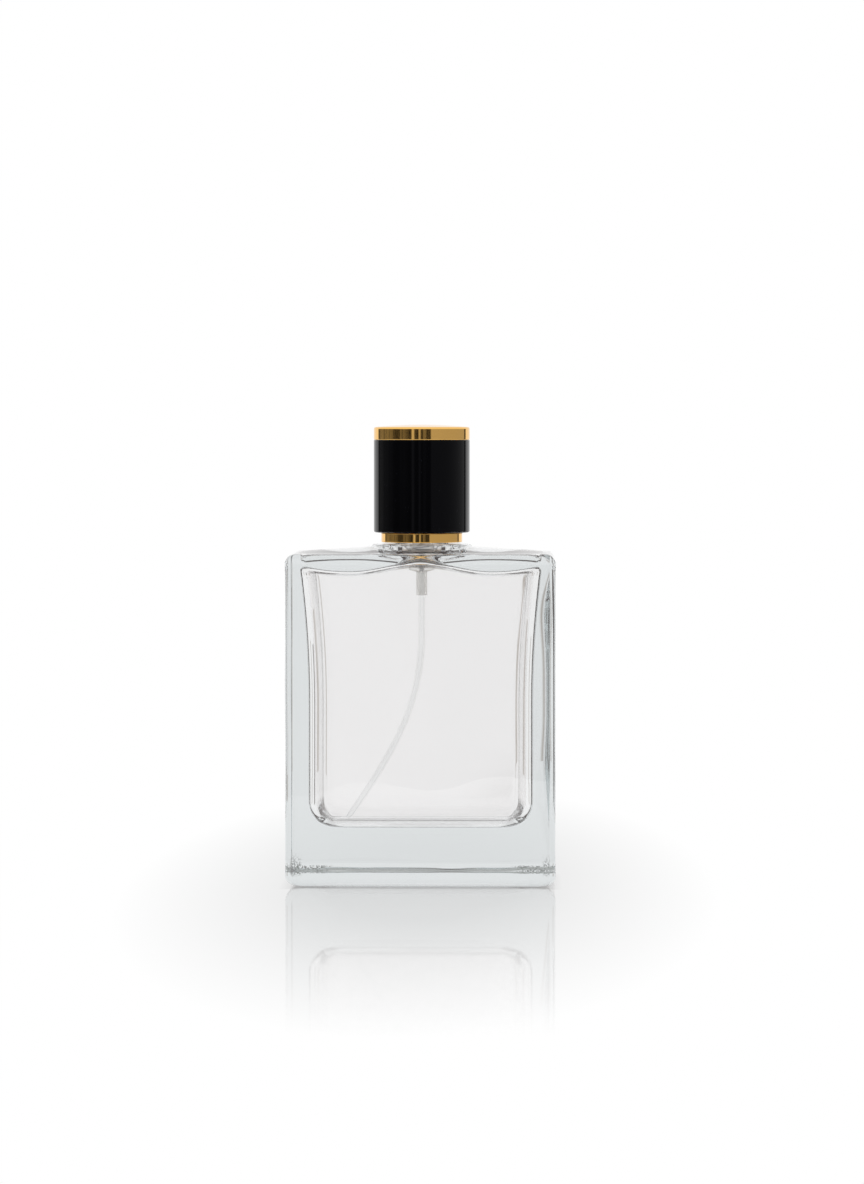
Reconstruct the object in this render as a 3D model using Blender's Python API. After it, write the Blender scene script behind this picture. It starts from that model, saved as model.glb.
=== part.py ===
"""A flat-fronted glass spray bottle for aftershave, with a crimped pump and a lift-off cap.

Every dimension is in millimetres and every mesh is made in metres. +Z is up, the front is towards
-Y, and the origin is the centre of the base. All the turned pieces share the pump's axis, which is
also the axis of every joint.
"""

import math

import bmesh
import bpy
from mathutils import Matrix, Vector

MM = 0.001
FIT_GAP = 0.3  # kept between pieces that rest on or grip each other

# glass body
BODY_WIDTH = 68.0
BODY_DEPTH = 38.0
SHOULDER_Z = 84.0  # top of the rim all round the shoulder
RIDGE_RISE = 2.2  # how far the shoulder climbs from that rim to the neck
RIDGE_EASE = 6.0  # rounds the ridge where it passes the neck
EDGE_RADIUS = 2.5  # where the walls turn into the shoulder
PLAN_RADIUS = 1.6  # of the upright edges, but for the rear right one
REAR_RIGHT_RADII = [  # (height, radius): moulded fuller in some places than in others
    (5.0, 1.6),
    (15.0, 4.6),
    (21.7, 5.7),
    (26.1, 7.0),
    (30.2, 7.8),
    (33.7, 7.5),
    (37.1, 6.8),
    (41.0, 6.4),
    (56.0, 6.5),
    (62.6, 7.2),
    (67.0, 8.2),
    (70.5, 8.0),
    (75.5, 5.2),
    (81.2, 1.6),
]
HEEL_RADIUS = 3.0
HEEL_RISE = 4.4  # of the rounder heel in front and behind
HEEL_REACH = 6.0  # how far that heel reaches under the base
RIM_WIDTH = 3.0  # flat ring that the bottle stands on
PUSH_UP = 0.8  # height of the hollow under the base
BOSS_RADIUS = 12.15
BOSS_TOP = 86.3

# hollow inside the glass
FLOOR_Z = 15.0
FRONT_WALL = 3.8
WAIST_HALF_WIDTH = 28.3
TOP_HALF_WIDTH = 30.4
WAIST_Z = 46.0
CAVITY_CORNER = 5.0
FLOOR_RADIUS = 6.5
FLOOR_FRONT_RADIUS = 3.0
CEILING_LOW = 79.7
CEILING_AT_NECK = 82.0
CEILING_AT_SIDE = 81.2
CEILING_LOW_X = 18.0

# glass neck with its crimping bead
NECK_TOP = 92.9
NECK_RADIUS = 6.4
BEAD_RADIUS = 7.5
BEAD_HEIGHT = 2.6
BORE_RADIUS = 5.1

# stack of pump pieces above the neck
SEAT_RADIUS = BEAD_RADIUS  # outside of everything that the ferrule clamps
GASKET_HEIGHT = 0.8
FLANGE_HEIGHT = 0.8
TURRET_HEIGHT = 1.2
BOSS_HEIGHT = 1.7
SHEET = 0.4  # thickness of the drawn aluminium pieces

# pump
STROKE = 4.0
VALVE_LAG = 0.5  # the stem moves this far before it takes the piston along
CHAMBER_RADIUS = 2.9
STEM_RADIUS = 1.7
STEM_BORE = 0.75
STEM_TOP = 104.6
HOUSING_RADIUS = 4.55
HOUSING_FOOT_RADIUS = 3.3
HOUSING_FOOT_Z = 80.0
TAIL_RADIUS = 1.35
TAIL_END_Z = 73.2
BALL_RADIUS = 1.0
BALL_Z = 81.2
SPRING_SEAT_Z = 82.9
SPRING_RADIUS = 2.2
SPRING_WIRE = 0.2
SPRING_TURNS = 6.5
PISTON_BOTTOM = 91.05
PISTON_HEIGHT = 2.7

# dip tube
TUBE_RADIUS = 0.8
TUBE_BORE = 0.45
TUBE_TOP_Z = 79.2
TUBE_STRAIGHT_Z = 64.0
TUBE_TIP_X = -19.0
TUBE_TIP_Z = 15.9
TUBE_TIP_LEAN = 34.0  # degrees from upright at the tip
TUBE_EASE = 20.0  # length of the curve's handles

# collar
COLLAR_FLANGE_RADIUS = 10.3
COLLAR_RADIUS = 9.75
COLLAR_FLANGE_TOP = 89.0
COLLAR_TOP = 102.1
WELL_RADIUS = 7.3

# actuator
ACTUATOR_RADIUS = 7.0
ACTUATOR_TOP = 109.6
DISH_DEPTH = 0.3
NOZZLE_Z = 106.2
POCKET_RADIUS = 1.8
POCKET_BACK = 3.6  # distance of the nozzle pocket's back from the pump's axis
POST_RADIUS = 0.8
POST_FRONT = 5.8

# cap
CAP_RADIUS = 12.2
CAP_BOTTOM = 89.1
CAP_BAND_BOTTOM = 112.6
CAP_BAND_EDGE = 115.85
CAP_TOP = 116.5
CAP_SHELL_WALL = 0.65
LINER_RADIUS = 11.25
LINER_WALL = 0.75
LINER_TOP = 114.95
RIB_COUNT = 12
RIB_INNER_RADIUS = 9.95
RIB_WIDTH = 1.2
RIB_TOP = 101.0

# facets
LARGE_TURN = 48
MEDIUM_TURN = 32
SMALL_TURN = 24
TINY_TURN = 12

GASKET_BOTTOM = NECK_TOP + FIT_GAP
HOUSING_TOP = GASKET_BOTTOM + GASKET_HEIGHT + FIT_GAP + FLANGE_HEIGHT
TURRET_BOTTOM = HOUSING_TOP + FIT_GAP
TURRET_TOP = TURRET_BOTTOM + TURRET_HEIGHT
TURRET_BOSS_TOP = TURRET_TOP + BOSS_HEIGHT
FERRULE_TOP = TURRET_TOP + FIT_GAP + SHEET
VALVE_HEAD_TOP = PISTON_BOTTOM - FIT_GAP
VALVE_HEAD_BOTTOM = VALVE_HEAD_TOP - 0.45
STEM_SHOULDER_Z = PISTON_BOTTOM + PISTON_HEIGHT + VALVE_LAG + 0.2
SKIRT_BOTTOM = FERRULE_TOP + STROKE + FIT_GAP
SOCKET_BOTTOM = TURRET_BOSS_TOP + STROKE + FIT_GAP


# ---------------------------------------------------------------- materials


def new_material(name, colour, roughness, metallic=0.0, transmission=0.0):
    material = bpy.data.materials.new(name)
    material.use_nodes = True
    shader = material.node_tree.nodes["Principled BSDF"]
    shader.inputs["Base Color"].default_value = (*colour, 1.0)
    shader.inputs["Roughness"].default_value = roughness
    shader.inputs["Metallic"].default_value = metallic
    shader.inputs["Transmission Weight"].default_value = transmission
    return material


def glass():
    return new_material("clear_glass", (0.90, 0.94, 0.94), 0.02, transmission=1.0)


def gold(name):
    return new_material(name, (0.83, 0.60, 0.28), 0.12, metallic=1.0)


def bare_aluminium():
    return new_material("bare_aluminium", (0.80, 0.81, 0.82), 0.30, metallic=1.0)


def steel(name):
    return new_material(name, (0.62, 0.62, 0.64), 0.22, metallic=1.0)


def plastic(name, colour, roughness=0.4):
    return new_material(name, colour, roughness)


# ---------------------------------------------------------------- outlines


def arc(centre, radius, start, end, steps):
    """Points on a circle between two angles in degrees, both ends included."""
    angles = [math.radians(start + (end - start) * i / steps) for i in range(steps + 1)]
    return [
        (centre[0] + radius * math.cos(a), centre[1] + radius * math.sin(a))
        for a in angles
    ]


def fillet_steps(fillet):
    if fillet <= 0.2:
        return 1
    return 2 if fillet < 0.6 else 3


def eased(corners, closed=True):
    """An outline of (radius, height) or (radius, height, fillet) corners, with arcs for fillets."""
    points = []
    count = len(corners)
    for i, corner in enumerate(corners):
        here = Vector(corner[:2])
        fillet = corner[2] if len(corner) > 2 else 0.0
        at_end = not closed and i in (0, count - 1)
        if fillet == 0.0 or at_end:
            points.append(tuple(here))
            continue
        back = (Vector(corners[i - 1][:2]) - here).normalized()
        ahead = (Vector(corners[(i + 1) % count][:2]) - here).normalized()
        half = back.angle(ahead) / 2
        centre = here + (back + ahead).normalized() * (fillet / math.sin(half))
        first = here + back * (fillet / math.tan(half)) - centre
        last = here + ahead * (fillet / math.tan(half)) - centre
        turn = first.angle_signed(last)
        steps = fillet_steps(fillet)
        for step in range(steps + 1):
            spun = first.copy()
            spun.rotate(Matrix.Rotation(-turn * step / steps, 2))
            points.append(tuple(centre + spun))
    return points


# ---------------------------------------------------------------- solids


def body_empty(name, height=0.0):
    """An empty on the pump's axis that holds the pieces of one moving body."""
    empty = bpy.data.objects.new(name, None)
    empty.empty_display_size = 5 * MM
    empty.location.z = height * MM
    bpy.context.scene.collection.objects.link(empty)
    return empty


def add_object(name, bm, material, parent, origin_z=0.0):
    """Makes a bmesh in metres into an object whose origin is on the axis at origin_z millimetres."""
    bmesh.ops.remove_doubles(bm, verts=bm.verts, dist=0.0005 * MM)
    bmesh.ops.recalc_face_normals(bm, faces=bm.faces)
    bmesh.ops.translate(bm, verts=bm.verts, vec=(0, 0, -origin_z * MM))
    mesh = bpy.data.meshes.new(name)
    bm.to_mesh(mesh)
    bm.free()
    mesh.shade_smooth()
    mesh.set_sharp_from_angle(angle=math.radians(32))
    if material:
        mesh.materials.append(material)
    obj = bpy.data.objects.new(name, mesh)
    obj.parent = parent
    obj.location.z = origin_z * MM - (parent.location.z if parent else 0.0)
    bpy.context.scene.collection.objects.link(obj)
    return obj


def turned(name, corners, turn, material, parent, closed=True):
    """A solid of revolution: a closed outline off the axis, or an open one from axis to axis."""
    outline = eased(corners, closed)
    bm = bmesh.new()
    verts = [bm.verts.new((r * MM, 0, z * MM)) for r, z in outline]
    pairs = list(zip(verts, verts[1:]))
    if closed:
        pairs.append((verts[-1], verts[0]))
    edges = [bm.edges.new(pair) for pair in pairs]
    bmesh.ops.spin(
        bm,
        geom=verts + edges,
        cent=(0, 0, 0),
        axis=(0, 0, 1),
        angle=math.tau,
        steps=turn,
        use_merge=True,
        use_duplicate=False,
    )
    base = min(z for _, z in outline)
    return add_object(name, bm, material, parent, base)


def lofted(name, rings, material, parent, closed=False):
    """Rings of equally many points in millimetres, joined in turn, then to the first or capped."""
    bm = bmesh.new()
    rows = [[bm.verts.new(Vector(p) * MM) for p in ring] for ring in rings]
    pairs = list(zip(rows, rows[1:]))
    if closed:
        pairs.append((rows[-1], rows[0]))
    for low, high in pairs:
        for i in range(len(low)):
            j = (i + 1) % len(low)
            bm.faces.new((low[i], low[j], high[j], high[i]))
    if not closed:
        bm.faces.new(rows[0])
        bm.faces.new(rows[-1])
    return add_object(name, bm, material, parent)


def swept_rings(path, radius, sides):
    """Circles around each point of a path, square to it, turned as little as possible."""
    side = Vector((0, 1, 0))
    rings = []
    for i, point in enumerate(path):
        ahead = path[min(i + 1, len(path) - 1)] - path[max(i - 1, 0)]
        ahead.normalize()
        side = (side - ahead * side.dot(ahead)).normalized()
        other = ahead.cross(side)
        angles = [math.tau * k / sides for k in range(sides)]
        rings.append(
            [
                point + (side * math.cos(a) + other * math.sin(a)) * radius
                for a in angles
            ]
        )
    return rings


def as_cutter(obj):
    obj.hide_render = True
    obj.display_type = "WIRE"


def boolean(obj, tool, operation):
    as_cutter(tool)
    modifier = obj.modifiers.new(tool.name, "BOOLEAN")
    modifier.operation = operation
    modifier.solver = "EXACT"
    modifier.object = tool


def face_front(obj):
    """Turns a piece modelled along +Z about the origin so that its top points to the front."""
    obj.data.transform(Matrix.Rotation(math.radians(90), 4, "X"))


# ---------------------------------------------------------------- glass bottle


def rectangle_quarter(half_x, half_y, corner):
    """From the middle of the +X side round one rounded corner to just short of the +Y side's middle."""
    side_steps, corner_steps, front_steps = 3, 4, 5
    points = [(half_x, (half_y - corner) * i / side_steps) for i in range(side_steps)]
    centre = (half_x - corner, half_y - corner)
    points += arc(centre, corner, 0, 90, corner_steps)[:-1]
    points += [
        ((half_x - corner) * (1 - i / front_steps), half_y) for i in range(front_steps)
    ]
    return points


def rounded_rectangle(half_x, half_y, corner, rear_right=None):
    quarter = rectangle_quarter(half_x, half_y, corner)
    mirrored = [(-x, y) for x, y in reversed(quarter[1:] + [(0.0, half_y)])]
    front = [(-x, -y) for x, y in quarter + mirrored]
    first = rectangle_quarter(half_x, half_y, rear_right or corner)
    return first + mirrored + front


def circle(radius):
    angles = [math.tau * i / LARGE_TURN for i in range(LARGE_TURN)]
    return [(radius * math.cos(a), radius * math.sin(a)) for a in angles]


def mixed(outline_a, outline_b, share):
    return [
        (xa + (xb - xa) * share, ya + (yb - ya) * share)
        for (xa, ya), (xb, yb) in zip(outline_a, outline_b)
    ]


def at_height(outline, height):
    """Adds a height, a number or a function of x and y, to a plan outline."""
    if callable(height):
        return [(x, y, height(x, y)) for x, y in outline]
    return [(x, y, height) for x, y in outline]


def outer_outline(inset, corner=None, front_inset=None, rear_right=None):
    """The body's plan, drawn in by an inset at the sides, and in front and behind."""
    if front_inset is None:
        front_inset = inset
    if corner is None:
        corner = max(PLAN_RADIUS - inset, 0.5)
    half_x, half_y = BODY_WIDTH / 2 - inset, BODY_DEPTH / 2 - front_inset
    return rounded_rectangle(half_x, half_y, corner, rear_right)


def heel_inset(z, rise, reach):
    """How far an elliptical heel is drawn in at a height above the base."""
    if z >= rise:
        return 0.0
    return reach * (1 - math.sqrt(max(0.0, 1 - ((rise - z) / rise) ** 2)))


def shoulder_height(x, y):
    """The shoulder climbs evenly from its ends to the neck and is rounded from front to back."""
    aside = math.hypot(x, RIDGE_EASE) - RIDGE_EASE
    along = max(0.0, 1 - aside / (BODY_WIDTH / 2 - RIDGE_EASE / 2))
    reach = BODY_DEPTH / 2 - EDGE_RADIUS + 0.5
    across = math.cos(math.pi / 2 * min(1.0, abs(y) / reach)) ** 2
    return SHOULDER_Z + RIDGE_RISE * along * across


def ceiling_height(x, y):
    """The hollow's roof dips between the neck and the ends."""
    away = abs(x) - CEILING_LOW_X
    if away > 0:
        span = TOP_HALF_WIDTH - CEILING_LOW_X
        return CEILING_LOW + (CEILING_AT_SIDE - CEILING_LOW) * (away / span) ** 2
    swell = (1 + math.cos(math.pi * x / CEILING_LOW_X)) / 2
    return CEILING_LOW + (CEILING_AT_NECK - CEILING_LOW) * swell


def outside_rings():
    """From the hollow under the base, up the walls and over the shoulder to the neck's boss."""
    inner = RIM_WIDTH + HEEL_RADIUS
    deeper = HEEL_REACH - HEEL_RADIUS
    rings = [
        at_height(outer_outline(inner + 4, 5.0, inner + 4 + deeper), PUSH_UP),
        at_height(outer_outline(inner, 4.5, inner + deeper), 0.0),
    ]
    for step in range(7):
        z = HEEL_RISE * (1 - math.cos(math.pi / 2 * step / 6))
        inset = heel_inset(z, HEEL_RADIUS, HEEL_RADIUS)
        front_inset = heel_inset(z, HEEL_RISE, HEEL_REACH)
        corner = PLAN_RADIUS + 0.6 * (front_inset - inset)
        rings.append(at_height(outer_outline(inset, corner, front_inset), z))
    for z, radius in REAR_RIGHT_RADII:
        rings.append(at_height(outer_outline(0.0, rear_right=radius), z))
    for r, z in arc((0, SHOULDER_Z - EDGE_RADIUS), EDGE_RADIUS, 0, 90, 4):
        rings.append(at_height(outer_outline(EDGE_RADIUS - r), z))
    edge, foot = outer_outline(EDGE_RADIUS), circle(BOSS_RADIUS + 0.75)
    for share in (1 / 3, 2 / 3, 1):
        rings.append(at_height(mixed(edge, foot, share), shoulder_height))
    rings.append(
        at_height(circle(BOSS_RADIUS + 0.2), lambda x, y: shoulder_height(x, y) + 0.3)
    )
    for r, z in arc((BOSS_RADIUS - 0.4, BOSS_TOP - 0.4), 0.4, 0, 90, 2):
        rings.append(at_height(circle(r), z))
    return rings


def neck_rings():
    """Up the outside of the neck, over the crimping bead and down the bore."""
    bead_bottom = NECK_TOP - BEAD_HEIGHT
    profile = eased(
        [
            (BOSS_RADIUS - 1, BOSS_TOP),
            (NECK_RADIUS, BOSS_TOP, 0.5),
            (NECK_RADIUS, bead_bottom - 0.7),
            (BEAD_RADIUS, bead_bottom),
            (BEAD_RADIUS, NECK_TOP, 0.6),
            (BORE_RADIUS, NECK_TOP, 0.4),
            (BORE_RADIUS, BOSS_TOP - 1.7),
            (BORE_RADIUS + 0.2, BOSS_TOP - 2.9),
            (BORE_RADIUS + 0.8, BOSS_TOP - 3.8),
        ],
        closed=False,
    )
    return [at_height(circle(r), z) for r, z in profile[1:]]


def cavity_half_width(z):
    if z < WAIST_Z:
        return WAIST_HALF_WIDTH
    share = (z - WAIST_Z) / (CEILING_LOW - WAIST_Z)
    return WAIST_HALF_WIDTH + (TOP_HALF_WIDTH - WAIST_HALF_WIDTH) * share**2


def inside_rings():
    """From the bore's mouth, across the roof, down the walls and over the floor."""
    half_y = BODY_DEPTH / 2 - FRONT_WALL
    mouth = circle(BORE_RADIUS + 1.9)
    roof = rounded_rectangle(TOP_HALF_WIDTH - 1.6, half_y - 1.6, CAVITY_CORNER - 1.6)
    rings = [
        at_height(mixed(mouth, roof, share), ceiling_height)
        for share in (0, 1 / 3, 2 / 3, 1)
    ]
    soft = rounded_rectangle(TOP_HALF_WIDTH - 0.4, half_y - 0.4, CAVITY_CORNER - 0.4)
    rings.append(at_height(soft, lambda x, y: ceiling_height(x, y) - 0.5))
    wall_heights = (CEILING_LOW - 1.2, 68.0, 57.0, WAIST_Z)
    for z in wall_heights:
        outline = rounded_rectangle(cavity_half_width(z), half_y, CAVITY_CORNER)
        rings.append(at_height(outline, z))
    for r, z in arc((0, FLOOR_Z + FLOOR_RADIUS), FLOOR_RADIUS, 0, -90, 5):
        inset = FLOOR_RADIUS - r
        front_inset = heel_inset(z - FLOOR_Z, FLOOR_FRONT_RADIUS, FLOOR_FRONT_RADIUS)
        outline = rounded_rectangle(
            WAIST_HALF_WIDTH - inset, half_y - front_inset, CAVITY_CORNER - 0.3 * front_inset
        )
        rings.append(at_height(outline, z))
    middle = rounded_rectangle(WAIST_HALF_WIDTH - 14, half_y - 10, CAVITY_CORNER - 1)
    rings.append(at_height(middle, FLOOR_Z + 0.3))
    return rings


def glass_bottle():
    rings = outside_rings() + neck_rings() + inside_rings()
    return lofted("glass_bottle", rings, glass(), None)


# ---------------------------------------------------------------- pieces clamped on the neck


def neck_gasket():
    outline = [
        (BORE_RADIUS + 0.3, GASKET_BOTTOM),
        (SEAT_RADIUS, GASKET_BOTTOM),
        (SEAT_RADIUS, GASKET_BOTTOM + GASKET_HEIGHT),
        (BORE_RADIUS + 0.3, GASKET_BOTTOM + GASKET_HEIGHT),
    ]
    rubber = plastic("gasket_rubber", (0.75, 0.74, 0.70), 0.7)
    return turned("neck_gasket", outline, MEDIUM_TURN, rubber, None)


def crimp_ferrule():
    """The drawn aluminium cup whose lower edge is rolled in under the bead."""
    inner = SEAT_RADIUS + FIT_GAP
    outer = inner + SHEET
    lip = NECK_TOP - BEAD_HEIGHT - 1.4
    outline = [
        (NECK_RADIUS + 0.5, lip),
        (outer, lip, 0.4),
        (outer, FERRULE_TOP, 0.5),
        (3.6, FERRULE_TOP),
        (3.6, FERRULE_TOP - SHEET),
        (inner, FERRULE_TOP - SHEET, 0.15),
        (inner, lip + SHEET),
        (NECK_RADIUS + 0.5, lip + SHEET),
    ]
    return turned("crimp_ferrule", outline, MEDIUM_TURN, bare_aluminium(), None)


def collar_insert():
    """The plastic ring that snaps over the ferrule and carries the collar's metal sleeve."""
    ferrule = SEAT_RADIUS + FIT_GAP + SHEET
    lip = NECK_TOP - BEAD_HEIGHT - 1.4
    bottom = BOSS_TOP + 0.45
    outline = [
        (ferrule, bottom),
        (COLLAR_RADIUS - 0.2, bottom),
        (COLLAR_RADIUS - 0.2, COLLAR_FLANGE_TOP - 0.8),
        (COLLAR_RADIUS - 0.7, COLLAR_FLANGE_TOP - 0.8),
        (COLLAR_RADIUS - 0.7, COLLAR_TOP - 0.75),
        (WELL_RADIUS + 0.1, COLLAR_TOP - 0.75),
        (WELL_RADIUS + 0.1, FERRULE_TOP + FIT_GAP),
        (ferrule + 0.25, FERRULE_TOP + FIT_GAP),
        (ferrule + 0.25, lip - 0.25),
        (ferrule - 0.5, lip - 0.55),
        (ferrule - 0.5, lip - 1.15),
    ]
    white = plastic("insert_plastic", (0.86, 0.86, 0.85), 0.45)
    return turned("collar_insert", outline, MEDIUM_TURN, white, None)


def collar_sleeve():
    """The drawn metal collar: a flange that the cap sits on, and a cylinder inside the cap."""
    inner = COLLAR_RADIUS - SHEET
    bottom = BOSS_TOP + FIT_GAP
    outline = [
        (COLLAR_FLANGE_RADIUS - 0.45, bottom),
        (COLLAR_FLANGE_RADIUS, bottom, 0.15),
        (COLLAR_FLANGE_RADIUS, COLLAR_FLANGE_TOP, 0.2),
        (COLLAR_RADIUS, COLLAR_FLANGE_TOP),
        (COLLAR_RADIUS, COLLAR_TOP, 0.5),
        (WELL_RADIUS, COLLAR_TOP, 0.15),
        (WELL_RADIUS, COLLAR_TOP - SHEET),
        (inner, COLLAR_TOP - SHEET, 0.15),
        (inner, COLLAR_FLANGE_TOP - 0.5),
        (COLLAR_FLANGE_RADIUS - 0.45, COLLAR_FLANGE_TOP - 0.5),
    ]
    return turned("collar_sleeve", outline, LARGE_TURN, gold("collar_gold"), None)


# ---------------------------------------------------------------- pump


def pump_housing():
    """The pump's barrel, with the ball's cell and seat in its foot and the tube's socket below."""
    cell_radius, seat_hole, lip_radius = 1.45, 0.6, 0.85
    flange_bottom = HOUSING_TOP - FLANGE_HEIGHT
    socket_radius = TUBE_RADIUS + 0.15
    outline = [
        (HOUSING_RADIUS, flange_bottom),
        (SEAT_RADIUS, flange_bottom),
        (SEAT_RADIUS, HOUSING_TOP),
        (CHAMBER_RADIUS, HOUSING_TOP),
        (CHAMBER_RADIUS, SPRING_SEAT_Z),
        (lip_radius, SPRING_SEAT_Z),
        (lip_radius, SPRING_SEAT_Z - 0.3),
        (cell_radius, SPRING_SEAT_Z - 0.4),
        (cell_radius, BALL_Z - 0.2),
        (seat_hole, BALL_Z - 1.0),
        (seat_hole, TUBE_TOP_Z + 0.55),
        (socket_radius, TUBE_TOP_Z + 0.3),
        (socket_radius, TAIL_END_Z),
        (TAIL_RADIUS, TAIL_END_Z, 0.15),
        (TAIL_RADIUS, HOUSING_FOOT_Z - 0.6, 0.3),
        (HOUSING_FOOT_RADIUS, HOUSING_FOOT_Z, 0.3),
        (HOUSING_FOOT_RADIUS, HOUSING_FOOT_Z + 2.9),
        (HOUSING_RADIUS, HOUSING_FOOT_Z + 5.0),
    ]
    natural = plastic("housing_plastic", (0.80, 0.79, 0.76), 0.45)
    return turned("pump_housing", outline, SMALL_TURN, natural, None)


def turret():
    """The ring under the ferrule that closes the barrel and guides the stem."""
    guide = STEM_RADIUS + 0.25
    recess_radius, recess_roof, boss_radius = 3.7, TURRET_BOTTOM + 0.7, 3.1
    outline = [
        (recess_radius, TURRET_BOTTOM),
        (SEAT_RADIUS, TURRET_BOTTOM),
        (SEAT_RADIUS, TURRET_TOP, 0.2),
        (boss_radius, TURRET_TOP),
        (boss_radius, TURRET_BOSS_TOP, 0.3),
        (guide, TURRET_BOSS_TOP, 0.2),
        (guide, recess_roof),
        (recess_radius, recess_roof),
    ]
    white = plastic("turret_plastic", (0.88, 0.88, 0.87), 0.35)
    return turned("turret", outline, SMALL_TURN, white, None)


def stem_seal():
    bottom, top = HOUSING_TOP + 0.25, HOUSING_TOP + 0.7
    outline = [
        (STEM_RADIUS + 0.25, bottom),
        (3.4, bottom),
        (3.4, top),
        (STEM_RADIUS + 0.25, top),
    ]
    rubber = plastic("seal_rubber", (0.12, 0.12, 0.12), 0.7)
    return turned("stem_seal", outline, SMALL_TURN, rubber, None)


def tube_path():
    """Straight down from the barrel, then one easy curve to the lower left corner."""
    lean = math.radians(TUBE_TIP_LEAN)
    start = Vector((0, 0, TUBE_STRAIGHT_Z))
    tip = Vector((TUBE_TIP_X, 0, TUBE_TIP_Z))
    start_handle = start - Vector((0, 0, TUBE_EASE))
    tip_handle = tip + Vector((math.sin(lean), 0, math.cos(lean))) * TUBE_EASE
    steps = 18
    curve = []
    for i in range(steps + 1):
        t = i / steps
        curve.append(
            start * (1 - t) ** 3
            + start_handle * 3 * t * (1 - t) ** 2
            + tip_handle * 3 * t**2 * (1 - t)
            + tip * t**3
        )
    return [Vector((0, 0, TUBE_TOP_Z))] + curve


def dip_tube():
    path = tube_path()
    sides = 16
    outside = swept_rings(path, TUBE_RADIUS, sides)
    inside = swept_rings(path, TUBE_BORE, sides)
    clear = plastic("tube_plastic", (0.85, 0.86, 0.86), 0.25)
    return lofted("dip_tube", outside + inside[::-1], clear, None, closed=True)


def inlet_ball(parent):
    bm = bmesh.new()
    bmesh.ops.create_uvsphere(
        bm, u_segments=16, v_segments=8, radius=BALL_RADIUS * MM
    )
    bmesh.ops.translate(bm, verts=bm.verts, vec=(0, 0, BALL_Z * MM))
    return add_object("inlet_ball", bm, steel("ball_steel"), parent, BALL_Z)


def spring_path():
    """A helix whose first and last turns lie nearly flat."""
    bottom = SPRING_SEAT_Z + 0.2 + SPRING_WIRE
    top = VALVE_HEAD_BOTTOM - 0.2 - SPRING_WIRE
    per_turn = 14
    steps = int(SPRING_TURNS * per_turn)
    path = []
    for i in range(steps + 1):
        share = i / steps
        flat = share - math.sin(math.tau * share) / math.tau
        rise = 0.35 * flat + 0.65 * share
        angle = math.tau * SPRING_TURNS * share
        path.append(
            Vector(
                (
                    SPRING_RADIUS * math.cos(angle),
                    SPRING_RADIUS * math.sin(angle),
                    bottom + (top - bottom) * rise,
                )
            )
        )
    return path


def return_spring():
    rings = swept_rings(spring_path(), SPRING_WIRE, 6)
    return lofted("return_spring", rings, steel("spring_steel"), None)


def stem(parent):
    """The hollow stem: the actuator presses on its top, its shoulder drives the piston."""
    shoulder_radius, shoulder_top = 2.4, STEM_SHOULDER_Z + 0.55
    outline = [
        (STEM_BORE, VALVE_HEAD_TOP + 0.2),
        (STEM_RADIUS, VALVE_HEAD_TOP + 0.2),
        (STEM_RADIUS, STEM_SHOULDER_Z),
        (shoulder_radius, STEM_SHOULDER_Z),
        (shoulder_radius, shoulder_top),
        (STEM_RADIUS, shoulder_top),
        (STEM_RADIUS, STEM_TOP, 0.25),
        (STEM_BORE, STEM_TOP, 0.15),
    ]
    white = plastic("stem_plastic", (0.90, 0.90, 0.89), 0.3)
    made = turned("stem", outline, SMALL_TURN, white, parent)
    port_z = PISTON_BOTTOM + 1.0
    port = turned(
        "stem_port_cutter",
        [(0, -4), (0.3, -4), (0.3, 4), (0, 4)],
        TINY_TURN,
        None,
        None,
        closed=False,
    )
    port.rotation_euler.y = math.radians(90)
    port.location = (-4 * MM, 0, port_z * MM)
    boolean(made, port, "DIFFERENCE")
    return made


def valve_pin(parent):
    """Closes the stem's lower end: the piston seals on its head and the spring fits round its tail."""
    head_radius, tail_radius, tail_end = 2.4, 1.3, VALVE_HEAD_BOTTOM - 2.7
    outline = [
        (0, tail_end),
        (tail_radius, tail_end, 0.3),
        (tail_radius, VALVE_HEAD_BOTTOM),
        (head_radius, VALVE_HEAD_BOTTOM),
        (head_radius, VALVE_HEAD_TOP, 0.15),
        (STEM_BORE - 0.2, VALVE_HEAD_TOP),
        (STEM_BORE - 0.2, VALVE_HEAD_TOP + 0.8, 0.15),
        (0, VALVE_HEAD_TOP + 0.8),
    ]
    white = plastic("valve_plastic", (0.90, 0.90, 0.89), 0.3)
    return turned("valve_pin", outline, SMALL_TURN, white, parent, closed=False)


def piston(parent):
    """A sleeve with a lip at each end that wipes the barrel."""
    lip, waist = CHAMBER_RADIUS - 0.1, CHAMBER_RADIUS - 0.4
    inner, top = STEM_RADIUS + 0.25, PISTON_BOTTOM + PISTON_HEIGHT
    outline = [
        (inner, PISTON_BOTTOM + 0.2),
        (lip - 0.25, PISTON_BOTTOM),
        (lip, PISTON_BOTTOM + 0.15),
        (waist, PISTON_BOTTOM + 0.9),
        (waist, top - 0.9),
        (lip, top - 0.15),
        (lip - 0.25, top),
        (inner, top - 0.2),
    ]
    soft = plastic("piston_plastic", (0.82, 0.84, 0.86), 0.4)
    return turned("piston", outline, SMALL_TURN, soft, parent)


# ---------------------------------------------------------------- actuator


def nozzle_pocket():
    """The cut for the nozzle insert: a ring round the swirl post, open to the front."""
    outline = [
        (0, POST_FRONT),
        (POST_RADIUS, POST_FRONT),
        (POST_RADIUS, POCKET_BACK),
        (POCKET_RADIUS, POCKET_BACK),
        (POCKET_RADIUS, ACTUATOR_RADIUS + 1),
        (0, ACTUATOR_RADIUS + 1),
    ]
    cutter = turned("pocket_cutter", outline, SMALL_TURN, None, None, closed=False)
    cutter.location = (0, -POCKET_BACK * MM, NOZZLE_Z * MM)
    face_front(cutter)
    return cutter


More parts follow.
